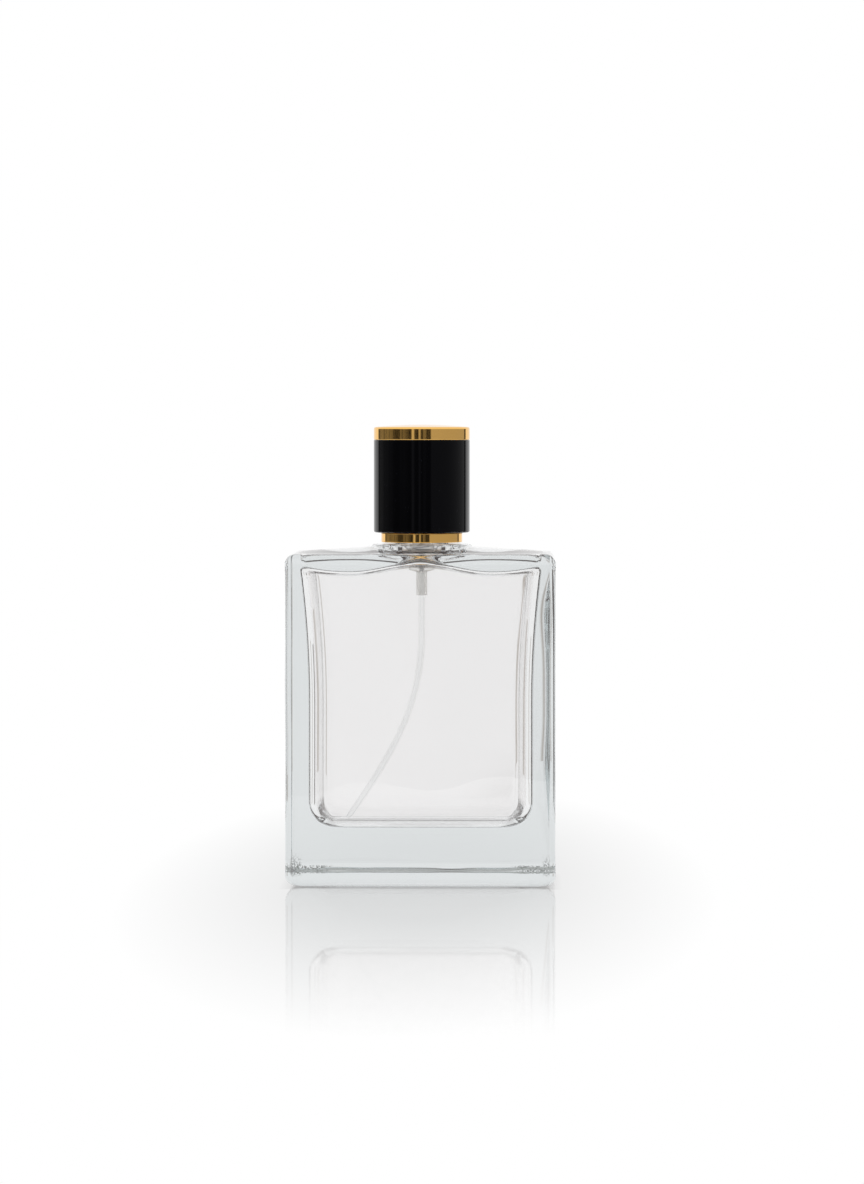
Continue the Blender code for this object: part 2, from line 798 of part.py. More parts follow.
def feed_channel():
    """A passage from the top of the actuator's bore to the pocket."""
    height = NOZZLE_Z + POCKET_RADIUS - 0.5
    outline = [(0, 0), (0.35, 0), (0.35, POCKET_BACK + 0.5), (0, POCKET_BACK + 0.5)]
    cutter = turned("channel_cutter", outline, TINY_TURN, None, None, closed=False)
    cutter.location = (0, 0, height * MM)
    face_front(cutter)
    return cutter


def actuator_core(parent):
    """The moulded button: a socket for the stem, a bore, and an open skirt under it."""
    outer = ACTUATOR_RADIUS - 0.35 - FIT_GAP
    top = ACTUATOR_TOP - DISH_DEPTH - 0.7
    socket = STEM_RADIUS + 0.25
    outline = [
        (0, top),
        (outer, top, 0.4),
        (outer, SKIRT_BOTTOM + 0.2, 0.15),
        (5.2, SKIRT_BOTTOM + 0.2),
        (5.2, SKIRT_BOTTOM + 2.2),
        (3.2, SKIRT_BOTTOM + 2.2),
        (3.2, SOCKET_BOTTOM, 0.15),
        (socket, SOCKET_BOTTOM, 0.2),
        (socket, STEM_TOP + 0.3),
        (0.8, STEM_TOP + 0.3),
        (0.8, top - 0.7),
        (0, top - 0.7),
    ]
    white = plastic("actuator_plastic", (0.88, 0.88, 0.87), 0.4)
    made = turned("actuator_core", outline, MEDIUM_TURN, white, parent, closed=False)
    boolean(made, nozzle_pocket(), "DIFFERENCE")
    boolean(made, feed_channel(), "DIFFERENCE")
    return made


def actuator_shell(parent):
    """The drawn metal cover over the button, with a shallow dish for the finger."""
    inner = ACTUATOR_RADIUS - 0.35
    ceiling = ACTUATOR_TOP - DISH_DEPTH - SHEET
    dish_radius = 5.2
    outline = [
        (0, ACTUATOR_TOP - DISH_DEPTH),
        (dish_radius * 0.6, ACTUATOR_TOP - DISH_DEPTH * 0.55),
        (dish_radius, ACTUATOR_TOP),
        (ACTUATOR_RADIUS, ACTUATOR_TOP, 0.7),
        (ACTUATOR_RADIUS, SKIRT_BOTTOM, 0.1),
        (inner, SKIRT_BOTTOM),
        (inner, ceiling, 0.35),
        (0, ceiling),
    ]
    made = turned(
        "actuator_shell",
        outline,
        LARGE_TURN,
        gold("actuator_gold"),
        parent,
        closed=False,
    )
    depth = ACTUATOR_RADIUS + 1
    hole = turned(
        "nozzle_hole_cutter",
        [(0, 5), (POCKET_RADIUS, 5), (POCKET_RADIUS, depth), (0, depth)],
        SMALL_TURN,
        None,
        None,
        closed=False,
    )
    hole.location = (0, -5 * MM, NOZZLE_Z * MM)
    face_front(hole)
    boolean(made, hole, "DIFFERENCE")
    return made


def nozzle_insert(parent):
    """The small cup with the spray hole, pressed over the swirl post."""
    outer, inner = POCKET_RADIUS - 0.2, POST_RADIUS + 0.25
    back, front = POCKET_BACK + 0.4, ACTUATOR_RADIUS - 0.1
    wall = POST_FRONT + 0.3
    outline = [
        (inner, back),
        (outer, back),
        (outer, front, 0.15),
        (0.45, front),
        (0.2, front - 0.3),
        (0.2, wall),
        (inner, wall),
    ]
    white = plastic("nozzle_plastic", (0.90, 0.90, 0.89), 0.3)
    made = turned("nozzle_insert", outline, SMALL_TURN, white, parent)
    made.location = (0, -back * MM, NOZZLE_Z * MM - parent.location.z)
    face_front(made)
    return made


# ---------------------------------------------------------------- cap


def cap_shell(parent):
    inner = CAP_RADIUS - CAP_SHELL_WALL
    top = CAP_BAND_BOTTOM - FIT_GAP
    outline = [
        (inner, CAP_BOTTOM),
        (CAP_RADIUS, CAP_BOTTOM, 0.3),
        (CAP_RADIUS, top, 0.1),
        (inner, top),
    ]
    black = plastic("cap_black", (0.008, 0.008, 0.010), 0.12)
    return turned("cap_shell", outline, LARGE_TURN, black, parent)


def cap_top_band(parent):
    """The gold cover on the cap: a shallow drawn cup with a low crown."""
    inner = CAP_RADIUS - CAP_SHELL_WALL
    ceiling = LINER_TOP + FIT_GAP
    crown = CAP_TOP - CAP_BAND_EDGE
    outline = [
        (0, CAP_TOP),
        (CAP_RADIUS * 0.45, CAP_TOP - crown * 0.2),
        (CAP_RADIUS * 0.75, CAP_TOP - crown * 0.56),
        (CAP_RADIUS, CAP_BAND_EDGE, 0.25),
        (CAP_RADIUS, CAP_BAND_BOTTOM, 0.1),
        (inner, CAP_BAND_BOTTOM),
        (inner, ceiling),
        (0, ceiling),
    ]
    return turned(
        "cap_top_band", outline, LARGE_TURN, gold("band_gold"), parent, closed=False
    )


def liner_ribs():
    """Upright ribs inside the liner that grip the collar."""
    bm = bmesh.new()
    inner, outer = RIB_INNER_RADIUS, LINER_RADIUS - LINER_WALL / 2
    bottom = CAP_BOTTOM + 0.35
    size = Vector((outer - inner, RIB_WIDTH, RIB_TOP - bottom)) * MM
    centre = Vector(((inner + outer) / 2, 0, (bottom + RIB_TOP) / 2)) * MM
    for i in range(RIB_COUNT):
        turn = Matrix.Rotation(math.tau * (i + 0.5) / RIB_COUNT, 4, "Z")
        place = turn @ Matrix.Translation(centre) @ Matrix.Diagonal((*size, 1))
        bmesh.ops.create_cube(bm, size=1, matrix=place)
    return add_object("liner_rib_tool", bm, None, None)


def cap_liner(parent):
    """The moulded cup inside the cap."""
    inner = LINER_RADIUS - LINER_WALL
    ceiling = LINER_TOP - LINER_WALL
    bottom = CAP_BOTTOM + 0.25
    outline = [
        (0, LINER_TOP),
        (LINER_RADIUS, LINER_TOP, 0.4),
        (LINER_RADIUS, bottom),
        (inner, bottom, 0.2),
        (inner, ceiling, 0.4),
        (0, ceiling),
    ]
    white = plastic("liner_plastic", (0.85, 0.85, 0.84), 0.45)
    made = turned("cap_liner", outline, LARGE_TURN, white, parent, closed=False)
    boolean(made, liner_ribs(), "UNION")
    return made


# ---------------------------------------------------------------- assembly


def build():
    for obj in list(bpy.data.objects):
        bpy.data.objects.remove(obj, do_unlink=True)

    glass_bottle()
    neck_gasket()
    crimp_ferrule()
    collar_insert()
    collar_sleeve()
    pump_housing()
    turret()
    stem_seal()
    dip_tube()
    return_spring()

    inlet_ball(body_empty("ball_axis", BALL_Z))

    plunger = body_empty("stem_axis", VALVE_HEAD_TOP)
    stem(plunger)
    valve_pin(plunger)
    piston(body_empty("piston_axis", PISTON_BOTTOM))

    actuator = body_empty("actuator_axis", SKIRT_BOTTOM)
    actuator_core(actuator)
    actuator_shell(actuator)
    nozzle_insert(actuator)

    cap = body_empty("cap_axis", CAP_BOTTOM)
    cap_shell(cap)
    cap_top_band(cap)
    cap_liner(cap)


build()
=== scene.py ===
"""The looks of the spray bottle: thick clear glass, gold metal, gloss black, and a white studio.

The script's own lengths are in millimetres, and every mesh is made in metres in the CAD's frame:
+Z up, the front towards -Y, the origin at the centre of the base. All the turned pieces share the
vertical axis through the origin.
"""

import math

import bmesh
import bpy
from mathutils import Matrix, Vector, noise


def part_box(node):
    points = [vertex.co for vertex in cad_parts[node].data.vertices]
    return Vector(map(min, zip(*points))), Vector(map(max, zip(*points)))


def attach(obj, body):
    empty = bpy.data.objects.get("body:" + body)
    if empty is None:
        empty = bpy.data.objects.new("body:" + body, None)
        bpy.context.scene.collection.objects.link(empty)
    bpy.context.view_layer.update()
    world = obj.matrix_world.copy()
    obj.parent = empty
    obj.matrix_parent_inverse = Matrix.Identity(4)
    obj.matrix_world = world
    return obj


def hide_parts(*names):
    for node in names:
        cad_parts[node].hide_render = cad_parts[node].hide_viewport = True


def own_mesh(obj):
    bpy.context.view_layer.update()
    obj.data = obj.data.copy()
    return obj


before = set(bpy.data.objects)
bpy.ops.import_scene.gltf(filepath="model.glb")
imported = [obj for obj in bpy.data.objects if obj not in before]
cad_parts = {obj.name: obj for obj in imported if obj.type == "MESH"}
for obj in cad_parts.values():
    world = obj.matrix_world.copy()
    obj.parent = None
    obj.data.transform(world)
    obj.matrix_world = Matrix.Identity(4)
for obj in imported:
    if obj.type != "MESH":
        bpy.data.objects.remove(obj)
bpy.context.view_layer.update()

MM = 0.001


def node_box(node):
    """A CAD node's lowest and highest corners in millimetres."""
    low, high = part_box(node)
    return low / MM, high / MM


# ---------------------------------------------------------------- dimensions

GLASS_HIGH = node_box("glass_bottle")[1]
SLEEVE_LOW, SLEEVE_HIGH = node_box("collar_sleeve")
SHELL_LOW, SHELL_HIGH = node_box("cap_shell")
BAND_LOW, BAND_HIGH = node_box("cap_top_band")
BUTTON_LOW, BUTTON_HIGH = node_box("actuator_shell")
HOUSING_LOW, HOUSING_HIGH = node_box("pump_housing")
SPRING_LOW, SPRING_HIGH = node_box("return_spring")

# glass body
HALF_WIDTH = GLASS_HIGH.x
HALF_DEPTH = GLASS_HIGH.y
SHOULDER_Z = 84.0
RIDGE_RISE = 2.2
RIDGE_EASE = 6.0  # half the width over which the ridge is rounded at the middle
EDGE_RADIUS = 2.5  # where the walls turn into the shoulder
PLAN_RADIUS = 1.6  # of the upright edges, but for the rear right one
HEEL_RADIUS = 3.0  # at the sides
HEEL_RISE = 4.4  # of the rounder heel in front and behind
HEEL_REACH = 6.0  # how far that heel reaches under the base
RIM_WIDTH = 3.0
PUSH_UP = 0.8  # of the shallow hollow under the base
PUSH_UP_RUN = 4.0  # how far inside the rim it is fully up
BOSS_RADIUS = 12.15  # of the raised ring round the neck
BOSS_TOP = 86.3
BOSS_EDGE = 0.8  # the radius of its upper edge
BOSS_FOOT = 0.9  # the radius where it meets the shoulder

# hollow inside the glass
FLOOR_Z = 15.0
FRONT_WALL = 3.8
WAIST_HALF_WIDTH = 28.3
TOP_HALF_WIDTH = 30.4
WAIST_Z = 46.0  # the sides lean outwards above this height
CAVITY_CORNER = 5.0
FLOOR_RADIUS = 6.5  # where the floor meets the sides
FLOOR_FRONT_RADIUS = 3.0  # where it meets the front and the back
CEILING_LOW = 79.7  # the roof's height where it is lowest
CEILING_AT_NECK = 82.0
CEILING_AT_SIDE = 81.2
CEILING_LOW_X = 18.0  # how far from the middle the roof is lowest
CEILING_EDGE = 1.6  # the radius where the roof meets the walls

# glass neck
NECK_TOP = GLASS_HIGH.z
NECK_RADIUS = 6.4
BEAD_RADIUS = 7.5
BEAD_HEIGHT = 2.6
BORE_RADIUS = 5.1

# pump
NOZZLE_Z = 106.2
BALL_RADIUS, BALL_Z = 1.0, 81.2

# camera, in the photograph's place
CAMERA_DISTANCE = 1200.0
CAMERA_SIDE = 27.0
CAMERA_HEIGHT = 120.0
CAMERA_LENS = 143.5
AIM_RIGHT = 2.6  # how far right of the bottle's axis the view is centred
CAMERA_PITCH = 2.2  # degrees downwards

TURN = 160  # facets round a turned piece
RIPPLE = 0.12  # the most that the glass walls stray from flat
RIPPLE_MARGIN = 3.0  # from the base and from the shoulder to where the ripple starts
RIPPLE_RUN = 6.0  # the height over which it grows to its full size
EDGE_SHARE = 0.1  # of a half size: only points this near the wall move with its ripple

# how finely each run of the glass is divided
SIDE_STEPS, CORNER_STEPS, FRONT_STEPS = 10, 18, 16
HEEL_STEPS, WALL_STEPS, SHOULDER_STEPS, HOLLOW_STEPS = 24, 90, 18, 60

SUPPORT = 0.02  # a loop this far from each fillet keeps the flat beside it flat in shading


# ---------------------------------------------------------------- outlines


def arc(centre, radius, start, end, steps):
    """Points on a circle between two angles in degrees, both ends included."""
    angles = [math.radians(start + (end - start) * i / steps) for i in range(steps + 1)]
    return [
        (centre[0] + radius * math.cos(a), centre[1] + radius * math.sin(a))
        for a in angles
    ]


def eased(corners, closed=True, steps=6):
    """An outline of (radius, height) or (radius, height, fillet) corners, with arcs for fillets."""
    points = []
    count = len(corners)
    for i, corner in enumerate(corners):
        here = Vector(corner[:2])
        fillet = corner[2] if len(corner) > 2 else 0.0
        at_end = not closed and i in (0, count - 1)
        if fillet == 0.0 or at_end:
            points.append(tuple(here))
            continue
        back = (Vector(corners[i - 1][:2]) - here).normalized()
        ahead = (Vector(corners[(i + 1) % count][:2]) - here).normalized()
        half = back.angle(ahead) / 2
        centre = here + (back + ahead).normalized() * (fillet / math.sin(half))
        first = here + back * (fillet / math.tan(half)) - centre
        last = here + ahead * (fillet / math.tan(half)) - centre
        turn = first.angle_signed(last)
        points.append(tuple(centre + first + back * SUPPORT))
        for step in range(steps + 1):
            spun = first.copy()
            spun.rotate(Matrix.Rotation(-turn * step / steps, 2))
            points.append(tuple(centre + spun))
        points.append(tuple(centre + last + ahead * SUPPORT))
    return points


def spread(low, high, count):
    """Evenly spaced values between two, both ends included."""
    return [low + (high - low) * i / count for i in range(count + 1)]


def supported(start, end, count):
    """Values strictly between two fillets, with one close to each."""
    way = SUPPORT if end > start else -SUPPORT
    return [start + way] + spread(start, end, count)[1:-1] + [end - way]


# ---------------------------------------------------------------- meshes


def add_piece(name, bm, material, body, replaced, sharp=34):
    """Makes a bmesh in metres into a piece that rides on a body and stands for CAD nodes."""
    bmesh.ops.remove_doubles(bm, verts=bm.verts, dist=0.0002 * MM)
    bmesh.ops.recalc_face_normals(bm, faces=bm.faces)
    mesh = bpy.data.meshes.new(name)
    bm.to_mesh(mesh)
    bm.free()
    mesh.shade_smooth()
    if sharp:
        mesh.set_sharp_from_angle(angle=math.radians(sharp))
    mesh.materials.append(material)
    obj = bpy.data.objects.new(name, mesh)
    bpy.context.scene.collection.objects.link(obj)
    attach(obj, body)
    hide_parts(*replaced)
    return obj


def spun(outline, turn=TURN, closed=True):
    """A bmesh of revolution: a closed outline off the axis, or an open one from axis to axis."""
    bm = bmesh.new()
    verts = [bm.verts.new((r * MM, 0, z * MM)) for r, z in outline]
    pairs = list(zip(verts, verts[1:]))
    if closed:
        pairs.append((verts[-1], verts[0]))
    edges = [bm.edges.new(pair) for pair in pairs]
    bmesh.ops.spin(
        bm,
        geom=verts + edges,
        cent=(0, 0, 0),
        axis=(0, 0, 1),
        angle=math.tau,
        steps=turn,
        use_merge=True,
        use_duplicate=False,
    )
    return bm


def lofted(rings, closed=False):
    """A bmesh of rings of equally many points, joined in turn, then to the first or capped."""
    bm = bmesh.new()
    rows = [[bm.verts.new(Vector(p) * MM) for p in ring] for ring in rings]
    pairs = list(zip(rows, rows[1:]))
    if closed:
        pairs.append((rows[-1], rows[0]))
    for low, high in pairs:
        for i in range(len(low)):
            j = (i + 1) % len(low)
            bm.faces.new((low[i], low[j], high[j], high[i]))
    if not closed:
        bm.faces.new(rows[0])
        bm.faces.new(rows[-1])
    return bm


def swept_rings(path, radius, sides):
    """Circles around each point of a path, square to it, turned as little as possible."""
    side = Vector((0, 1, 0))
    rings = []
    for i, point in enumerate(path):
        ahead = path[min(i + 1, len(path) - 1)] - path[max(i - 1, 0)]
        ahead.normalize()
        side = (side - ahead * side.dot(ahead)).normalized()
        other = ahead.cross(side)
        angles = [math.tau * k / sides for k in range(sides)]
        rings.append(
            [point + (side * math.cos(a) + other * math.sin(a)) * radius for a in angles]
        )
    return rings


# ---------------------------------------------------------------- material nodes


class Tree:
    """A node tree, with short calls to add and join nodes."""

    def __init__(self, tree):
        self.tree = tree

    def add(self, kind, **settings):
        node = self.tree.nodes.new(kind)
        for key, value in settings.items():
            setattr(node, key, value)
        return node

    def put(self, value, socket):
        """Joins an input to an output, or sets it to a number or a colour."""
        if isinstance(value, bpy.types.NodeSocket):
            self.tree.links.new(value, socket)
        elif isinstance(value, tuple):
            socket.default_value = (*value, 1)
        else:
            socket.default_value = value

    def coordinates(self, scale=(1, 1, 1)):
        """Object coordinates in metres, stretched by a scale."""
        place = self.add("ShaderNodeTexCoord")
        mapping = self.add("ShaderNodeMapping")
        mapping.inputs["Scale"].default_value = scale
        self.put(place.outputs["Object"], mapping.inputs["Vector"])
        return mapping.outputs["Vector"]

    def parts_of(self, vector):
        """A vector's X, Y and Z."""
        node = self.add("ShaderNodeSeparateXYZ")
        self.put(vector, node.inputs[0])
        return node.outputs

    def length_of(self, vector):
        node = self.add("ShaderNodeVectorMath", operation="LENGTH")
        self.put(vector, node.inputs[0])
        return node.outputs["Value"]

    def number(self, operation, a, b=None):
        """The outcome of an operation on one or two values."""
        node = self.add("ShaderNodeMath", operation=operation)
        self.put(a, node.inputs[0])
        if b is not None:
            self.put(b, node.inputs[1])
        return node.outputs[0]

    def product(self, first, *others):
        for other in others:
            first = self.number("MULTIPLY", first, other)
        return first

    def noise(self, scale, detail=3.0, stretch=(1, 1, 1)):
        node = self.add("ShaderNodeTexNoise")
        self.put(scale, node.inputs["Scale"])
        self.put(detail, node.inputs["Detail"])
        self.put(self.coordinates(stretch), node.inputs["Vector"])
        return node.outputs["Fac"]

    def ranged(self, value, low, high, from_low=0.0, from_high=1.0):
        """Brings a value from one range to another, and keeps it there."""
        node = self.add("ShaderNodeMapRange")
        self.put(value, node.inputs["Value"])
        self.put(from_low, node.inputs["From Min"])
        self.put(from_high, node.inputs["From Max"])
        self.put(low, node.inputs["To Min"])
        self.put(high, node.inputs["To Max"])
        return node.outputs["Result"]

    def fade(self, length, nothing, full):
        """From 0 where a length reaches one mark, in millimetres, to 1 where it reaches another."""
        return self.ranged(length, 0.0, 1.0, nothing * MM, full * MM)

    def blended(self, factor, colour_a, colour_b):
        """The first colour where the factor is 0, and the second where it is 1."""
        node = self.add("ShaderNodeMix", data_type="RGBA")
        self.put(factor, node.inputs[0])
        self.put(colour_a, node.inputs[6])
        self.put(colour_b, node.inputs[7])
        return node.outputs[2]


class Surface(Tree):
    """A new material with its principled shader."""

    def __init__(self, name):
        self.material = bpy.data.materials.new(name)
        self.material.use_nodes = True
        super().__init__(self.material.node_tree)
        self.shader = self.tree.nodes["Principled BSDF"]
        self.output = self.tree.nodes["Material Output"]

    def set(self, **values):
        """Sets inputs of the shader, with underscores for the spaces in their names."""
        for key, value in values.items():
            socket = self.shader.inputs[key.replace("_", " ")]
            self.put(value, socket)

    def bump(self, height, distance):
        """Raises the surface by height, from 0 to 1, times a distance in millimetres."""
        node = self.add("ShaderNodeBump")
        self.put(1.0, node.inputs["Strength"])
        self.put(distance * MM, node.inputs["Distance"])
        self.put(height, node.inputs["Height"])
        self.set(Normal=node.outputs["Normal"])


def mould_marks(made):
    """Where the mould's seam and stippled corners mark the rear of the base, from 0 to 1."""
    seam_low, seam_high = 1.6 * MM, 3.0 * MM
    seam_strength, seam_core, seam_edge = 0.85, 0.25 * MM, 0.6 * MM
    place = made.parts_of(made.coordinates())
    sideways = made.number("ABSOLUTE", place["X"])
    behind = made.fade(place["Y"], 2.0, 6.0)

    sway = made.ranged(made.noise(55.0, 1.0, (1, 0, 0)), seam_low, seam_high, 0.2, 0.8)
    off_seam = made.number("ABSOLUTE", made.number("SUBTRACT", place["Z"], sway))
    seam = made.ranged(off_seam, seam_strength, 0.0, seam_core, seam_edge)

    # stipple along the foot's ends and up the two rear edges
    ends = made.product(made.fade(sideways, 22.5, 24.5), made.fade(sideways, 33.6, 33.0))
    foot = made.product(ends, made.fade(place["Z"], 3.6, 3.0))
    corners = made.product(made.fade(sideways, 30.6, 31.4), made.fade(place["Y"], 16.5, 17.5))
    edges = made.product(corners, made.fade(place["Z"], 7.0, 3.0))
    spots = made.ranged(made.noise(1900.0, 2.0), 0.0, 1.0, 0.46, 0.6)
    stipple = made.product(made.number("MAXIMUM", foot, edges), spots)
    return made.product(made.number("MAXIMUM", seam, stipple), behind)


def painted_neck_reflection(made):
    """Where the hollow's roof is painted with a brown reflection of the collar's dark inside, from
    0 to 1.
    """
    near = made.fade(made.length_of(made.coordinates((1, 1, 0))), 9.8, 7.6)
    height = made.parts_of(made.coordinates())["Z"]
    return made.product(made.fade(height, 80.6, 81.4), made.fade(height, 84.6, 83.6), near)


def clear_glass():
    """Flint glass: clear when thin, a cool grey through its thick base and sides."""
    cool, clearer = (0.944, 0.936, 0.936), (0.950, 0.942, 0.942)
    # the brown is a painted reflection of the dark collar, for the roof round the neck
    mark_tone, painted_collar_reflection = (0.07, 0.085, 0.075), (0.36, 0.31, 0.26)
    passed, density = (0.0, 0.18, 0.215), 8.4
    glow, glow_strength = (1.0, 0.81, 0.77), 1.6  # for the light paths that the renderer cuts off
    mark_height = 0.15

    made = Surface("clear_glass")
    made.set(Roughness=0.0, IOR=1.52, Transmission_Weight=1.0)
    marks = mould_marks(made)
    colour = made.blended(made.noise(18.0, 2.0), cool, clearer)
    colour = made.blended(marks, colour, mark_tone)
    # painted reflection: the roof round the neck is tinted brown like the dark collar's reflection
    made.set(Base_Color=made.blended(painted_neck_reflection(made), colour, painted_collar_reflection))
    made.bump(marks, mark_height)
    absorb = made.add("ShaderNodeVolumeAbsorption")
    made.put(passed, absorb.inputs["Color"])
    made.put(density, absorb.inputs["Density"])
    emission = made.add("ShaderNodeEmission")
    made.put(glow, emission.inputs["Color"])
    made.put(glow_strength, emission.inputs["Strength"])
    volume = made.add("ShaderNodeAddShader")
    made.put(absorb.outputs["Volume"], volume.inputs[0])
    made.put(emission.outputs["Emission"], volume.inputs[1])
    made.put(volume.outputs[0], made.output.inputs["Volume"])
    return made.material


def gold_metal(name):
    """Anodised gold aluminium, polished, with a dull brown painted shade where it faces down."""
    # the second colour is painted shade for faces that point down
    tone, painted_underside_shade = (0.93, 0.55, 0.16), (0.05, 0.034, 0.022)
    deep = tuple(0.94 * c for c in tone)
    made = Surface(name)
    made.set(Metallic=1.0)
    lines = made.noise(60.0, 4.0, (1, 1, 40))
    gold = made.blended(made.noise(140.0, 3.0), tone, deep)
    facing = made.parts_of(made.add("ShaderNodeNewGeometry").outputs["Normal"])
    # painted shade: every face that points down is darkened to a near-black brown
    underside_shade_mask = made.ranged(facing["Z"], 1.0, 0.0, -0.98, -0.85)
    made.set(Base_Color=made.blended(underside_shade_mask, gold, painted_underside_shade))
    made.set(Roughness=made.ranged(lines, 0.035, 0.085))
    made.bump(lines, 0.0006)
    return made.material


def black_gloss():
    """Black moulded plastic with a polished surface."""
    made = Surface("black_gloss")
    made.set(IOR=1.4, Specular_Tint=(0.2, 0.2, 0.22))
    cloud = made.noise(90.0, 3.0)
    made.set(Base_Color=made.blended(cloud, (0.0012, 0.0012, 0.0016), (0.0020, 0.0020, 0.0025)))
    made.set(Roughness=made.ranged(cloud, 0.05, 0.10))
    made.bump(made.noise(220.0, 2.0), 0.001)
    return made.material


def bare_metal(name, tone, rough_low, rough_high):
    """Metal with fine lines round it from drawing."""
    made = Surface(name)
    made.set(Metallic=1.0)
    lines = made.noise(70.0, 4.0, (1, 1, 30))
    made.set(Base_Color=made.blended(lines, tone, tuple(0.88 * c for c in tone)))
    made.set(Roughness=made.ranged(lines, rough_low, rough_high))
    made.bump(lines, 0.002)
    return made.material


def moulded_plastic(name, tone, roughness, clear=0.0, subsurface=0.0, ior=1.49):
    """Injection-moulded plastic with a faint flow pattern and a fine satin grain."""
    spread_of_roughness = 0.06
    made = Surface(name)
    made.set(Transmission_Weight=clear, IOR=ior)
    if subsurface:
        made.set(Subsurface_Weight=subsurface, Subsurface_Scale=1.0 * MM)
    flow = made.noise(120.0, 3.0, (1, 1, 0.35))
    made.set(Base_Color=made.blended(flow, tone, tuple(0.93 * c for c in tone)))
    low, high = roughness - spread_of_roughness, roughness + spread_of_roughness
    made.set(Roughness=made.ranged(flow, low, high))
    made.bump(made.noise(1400.0, 2.0), 0.003)
    return made.material


def rubber(name, tone):
    """Dull rubber with a coarse grain."""
    made = Surface(name)
    made.set(IOR=1.45)
    grain = made.noise(900.0, 4.0)
    made.set(Base_Color=made.blended(grain, tone, tuple(0.8 * c for c in tone)))
    made.set(Roughness=made.ranged(grain, 0.6, 0.8))
    made.bump(grain, 0.01)
    return made.material


# ---------------------------------------------------------------- glass bottle


def plan_quarter(half_x, half_y, corner):
    """From the middle of the +X side to just short of the middle of the +Y side."""
    side, front = half_y - corner, half_x - corner
    points = [(half_x, side * i / SIDE_STEPS) for i in range(SIDE_STEPS)]
    points.append((half_x, side - SUPPORT))
    points += arc((front, side), corner, 0, 90, CORNER_STEPS)
    points.append((front - SUPPORT, half_y))
    points += [(front * (1 - i / FRONT_STEPS), half_y) for i in range(1, FRONT_STEPS)]
    return points


def rounded_rectangle(half_x, half_y, corner, rear_right=None):
    """A plan outline from the middle of the +X side, with equally many points a quarter."""
    first = plan_quarter(half_x, half_y, rear_right or corner)
    points = plan_quarter(half_x, half_y, corner)
    top, mirrored = (0.0, half_y), [(-x, y) for x, y in reversed(points[1:])]
    half = [(half_x, 0.0)] + points[1:] + [top] + mirrored
    return [(half_x, 0.0)] + first[1:] + [top] + mirrored + [(-x, -y) for x, y in half]


PLAN_POINTS = len(rounded_rectangle(10, 10, 1))


def circle(radius):
    angles = [math.tau * i / PLAN_POINTS for i in range(PLAN_POINTS)]
    return [(radius * math.cos(a), radius * math.sin(a)) for a in angles]


def mixed(outline_a, outline_b, share):
    return [
        (xa + (xb - xa) * share, ya + (yb - ya) * share)
        for (xa, ya), (xb, yb) in zip(outline_a, outline_b)
    ]


def at_height(outline, height):
    """Adds a height, a number or a function of x and y, to a plan outline."""
    if callable(height):
        return [(x, y, height(x, y)) for x, y in outline]
    return [(x, y, height) for x, y in outline]


def outer_outline(inset, corner=None, front_inset=None, rear_right=None):
    """The body's plan, drawn in by an inset at the sides, and in front and behind."""
    if front_inset is None:
        front_inset = inset
    if corner is None:
        corner = max(PLAN_RADIUS - inset, 0.5)
    return rounded_rectangle(HALF_WIDTH - inset, HALF_DEPTH - front_inset, corner, rear_right)


def quarter_inset(z, rise, reach):
    """How far an elliptical heel is drawn in at a height above the base."""
    if z >= rise:
        return 0.0
    return reach * (1 - math.sqrt(max(0.0, 1 - ((rise - z) / rise) ** 2)))


def shoulder_height(x, y):
    """The shoulder climbs evenly from its ends to the neck and is rounded from front to back."""
    along = max(0.0, 1 - (math.hypot(x, RIDGE_EASE) - RIDGE_EASE) / (HALF_WIDTH - RIDGE_EASE / 2))
    reach = HALF_DEPTH - EDGE_RADIUS + 0.5
    across = math.cos(math.pi / 2 * min(1.0, abs(y) / reach)) ** 2
    return SHOULDER_Z + RIDGE_RISE * along * across


def ceiling_height(x, y):
    """The hollow's roof dips between the neck and the ends."""
    away = abs(x) - CEILING_LOW_X
    if away > 0:
        span = TOP_HALF_WIDTH - CEILING_LOW_X
        return CEILING_LOW + (CEILING_AT_SIDE - CEILING_LOW) * (away / span) ** 2
    swell = (1 + math.cos(math.pi * x / CEILING_LOW_X)) / 2
    return CEILING_LOW + (CEILING_AT_NECK - CEILING_LOW) * swell


# the rear right edge is fuller in some places than in others: (height, radius)
REAR_RIGHT_RADII = [
    (5.0, 1.6),
    (15.0, 4.6),
    (21.7, 5.7),
    (26.1, 7.0),
    (30.2, 7.8),
    (33.7, 7.5),
    (37.1, 6.8),
    (41.0, 6.4),
    (56.0, 6.5),
    (62.6, 7.2),
    (67.0, 8.2),
    (70.5, 8.0),
    (75.5, 5.2),
    (81.2, 1.6),
]


def rear_right_radius(z):
    """The table's radius at a height, averaged over a few millimetres to change smoothly."""
    heights, radii = zip(*REAR_RIGHT_RADII)
    reach = 4
    levels = spread(z - reach, z + reach, 12)
    total = 0.0
    for level in levels:
        level = min(max(level, heights[0]), heights[-1])
        k = max(1, next(i for i, height in enumerate(heights) if level <= height))
        share = (level - heights[k - 1]) / (heights[k] - heights[k - 1])
        total += radii[k - 1] + (radii[k] - radii[k - 1]) * share
    return total / len(levels)


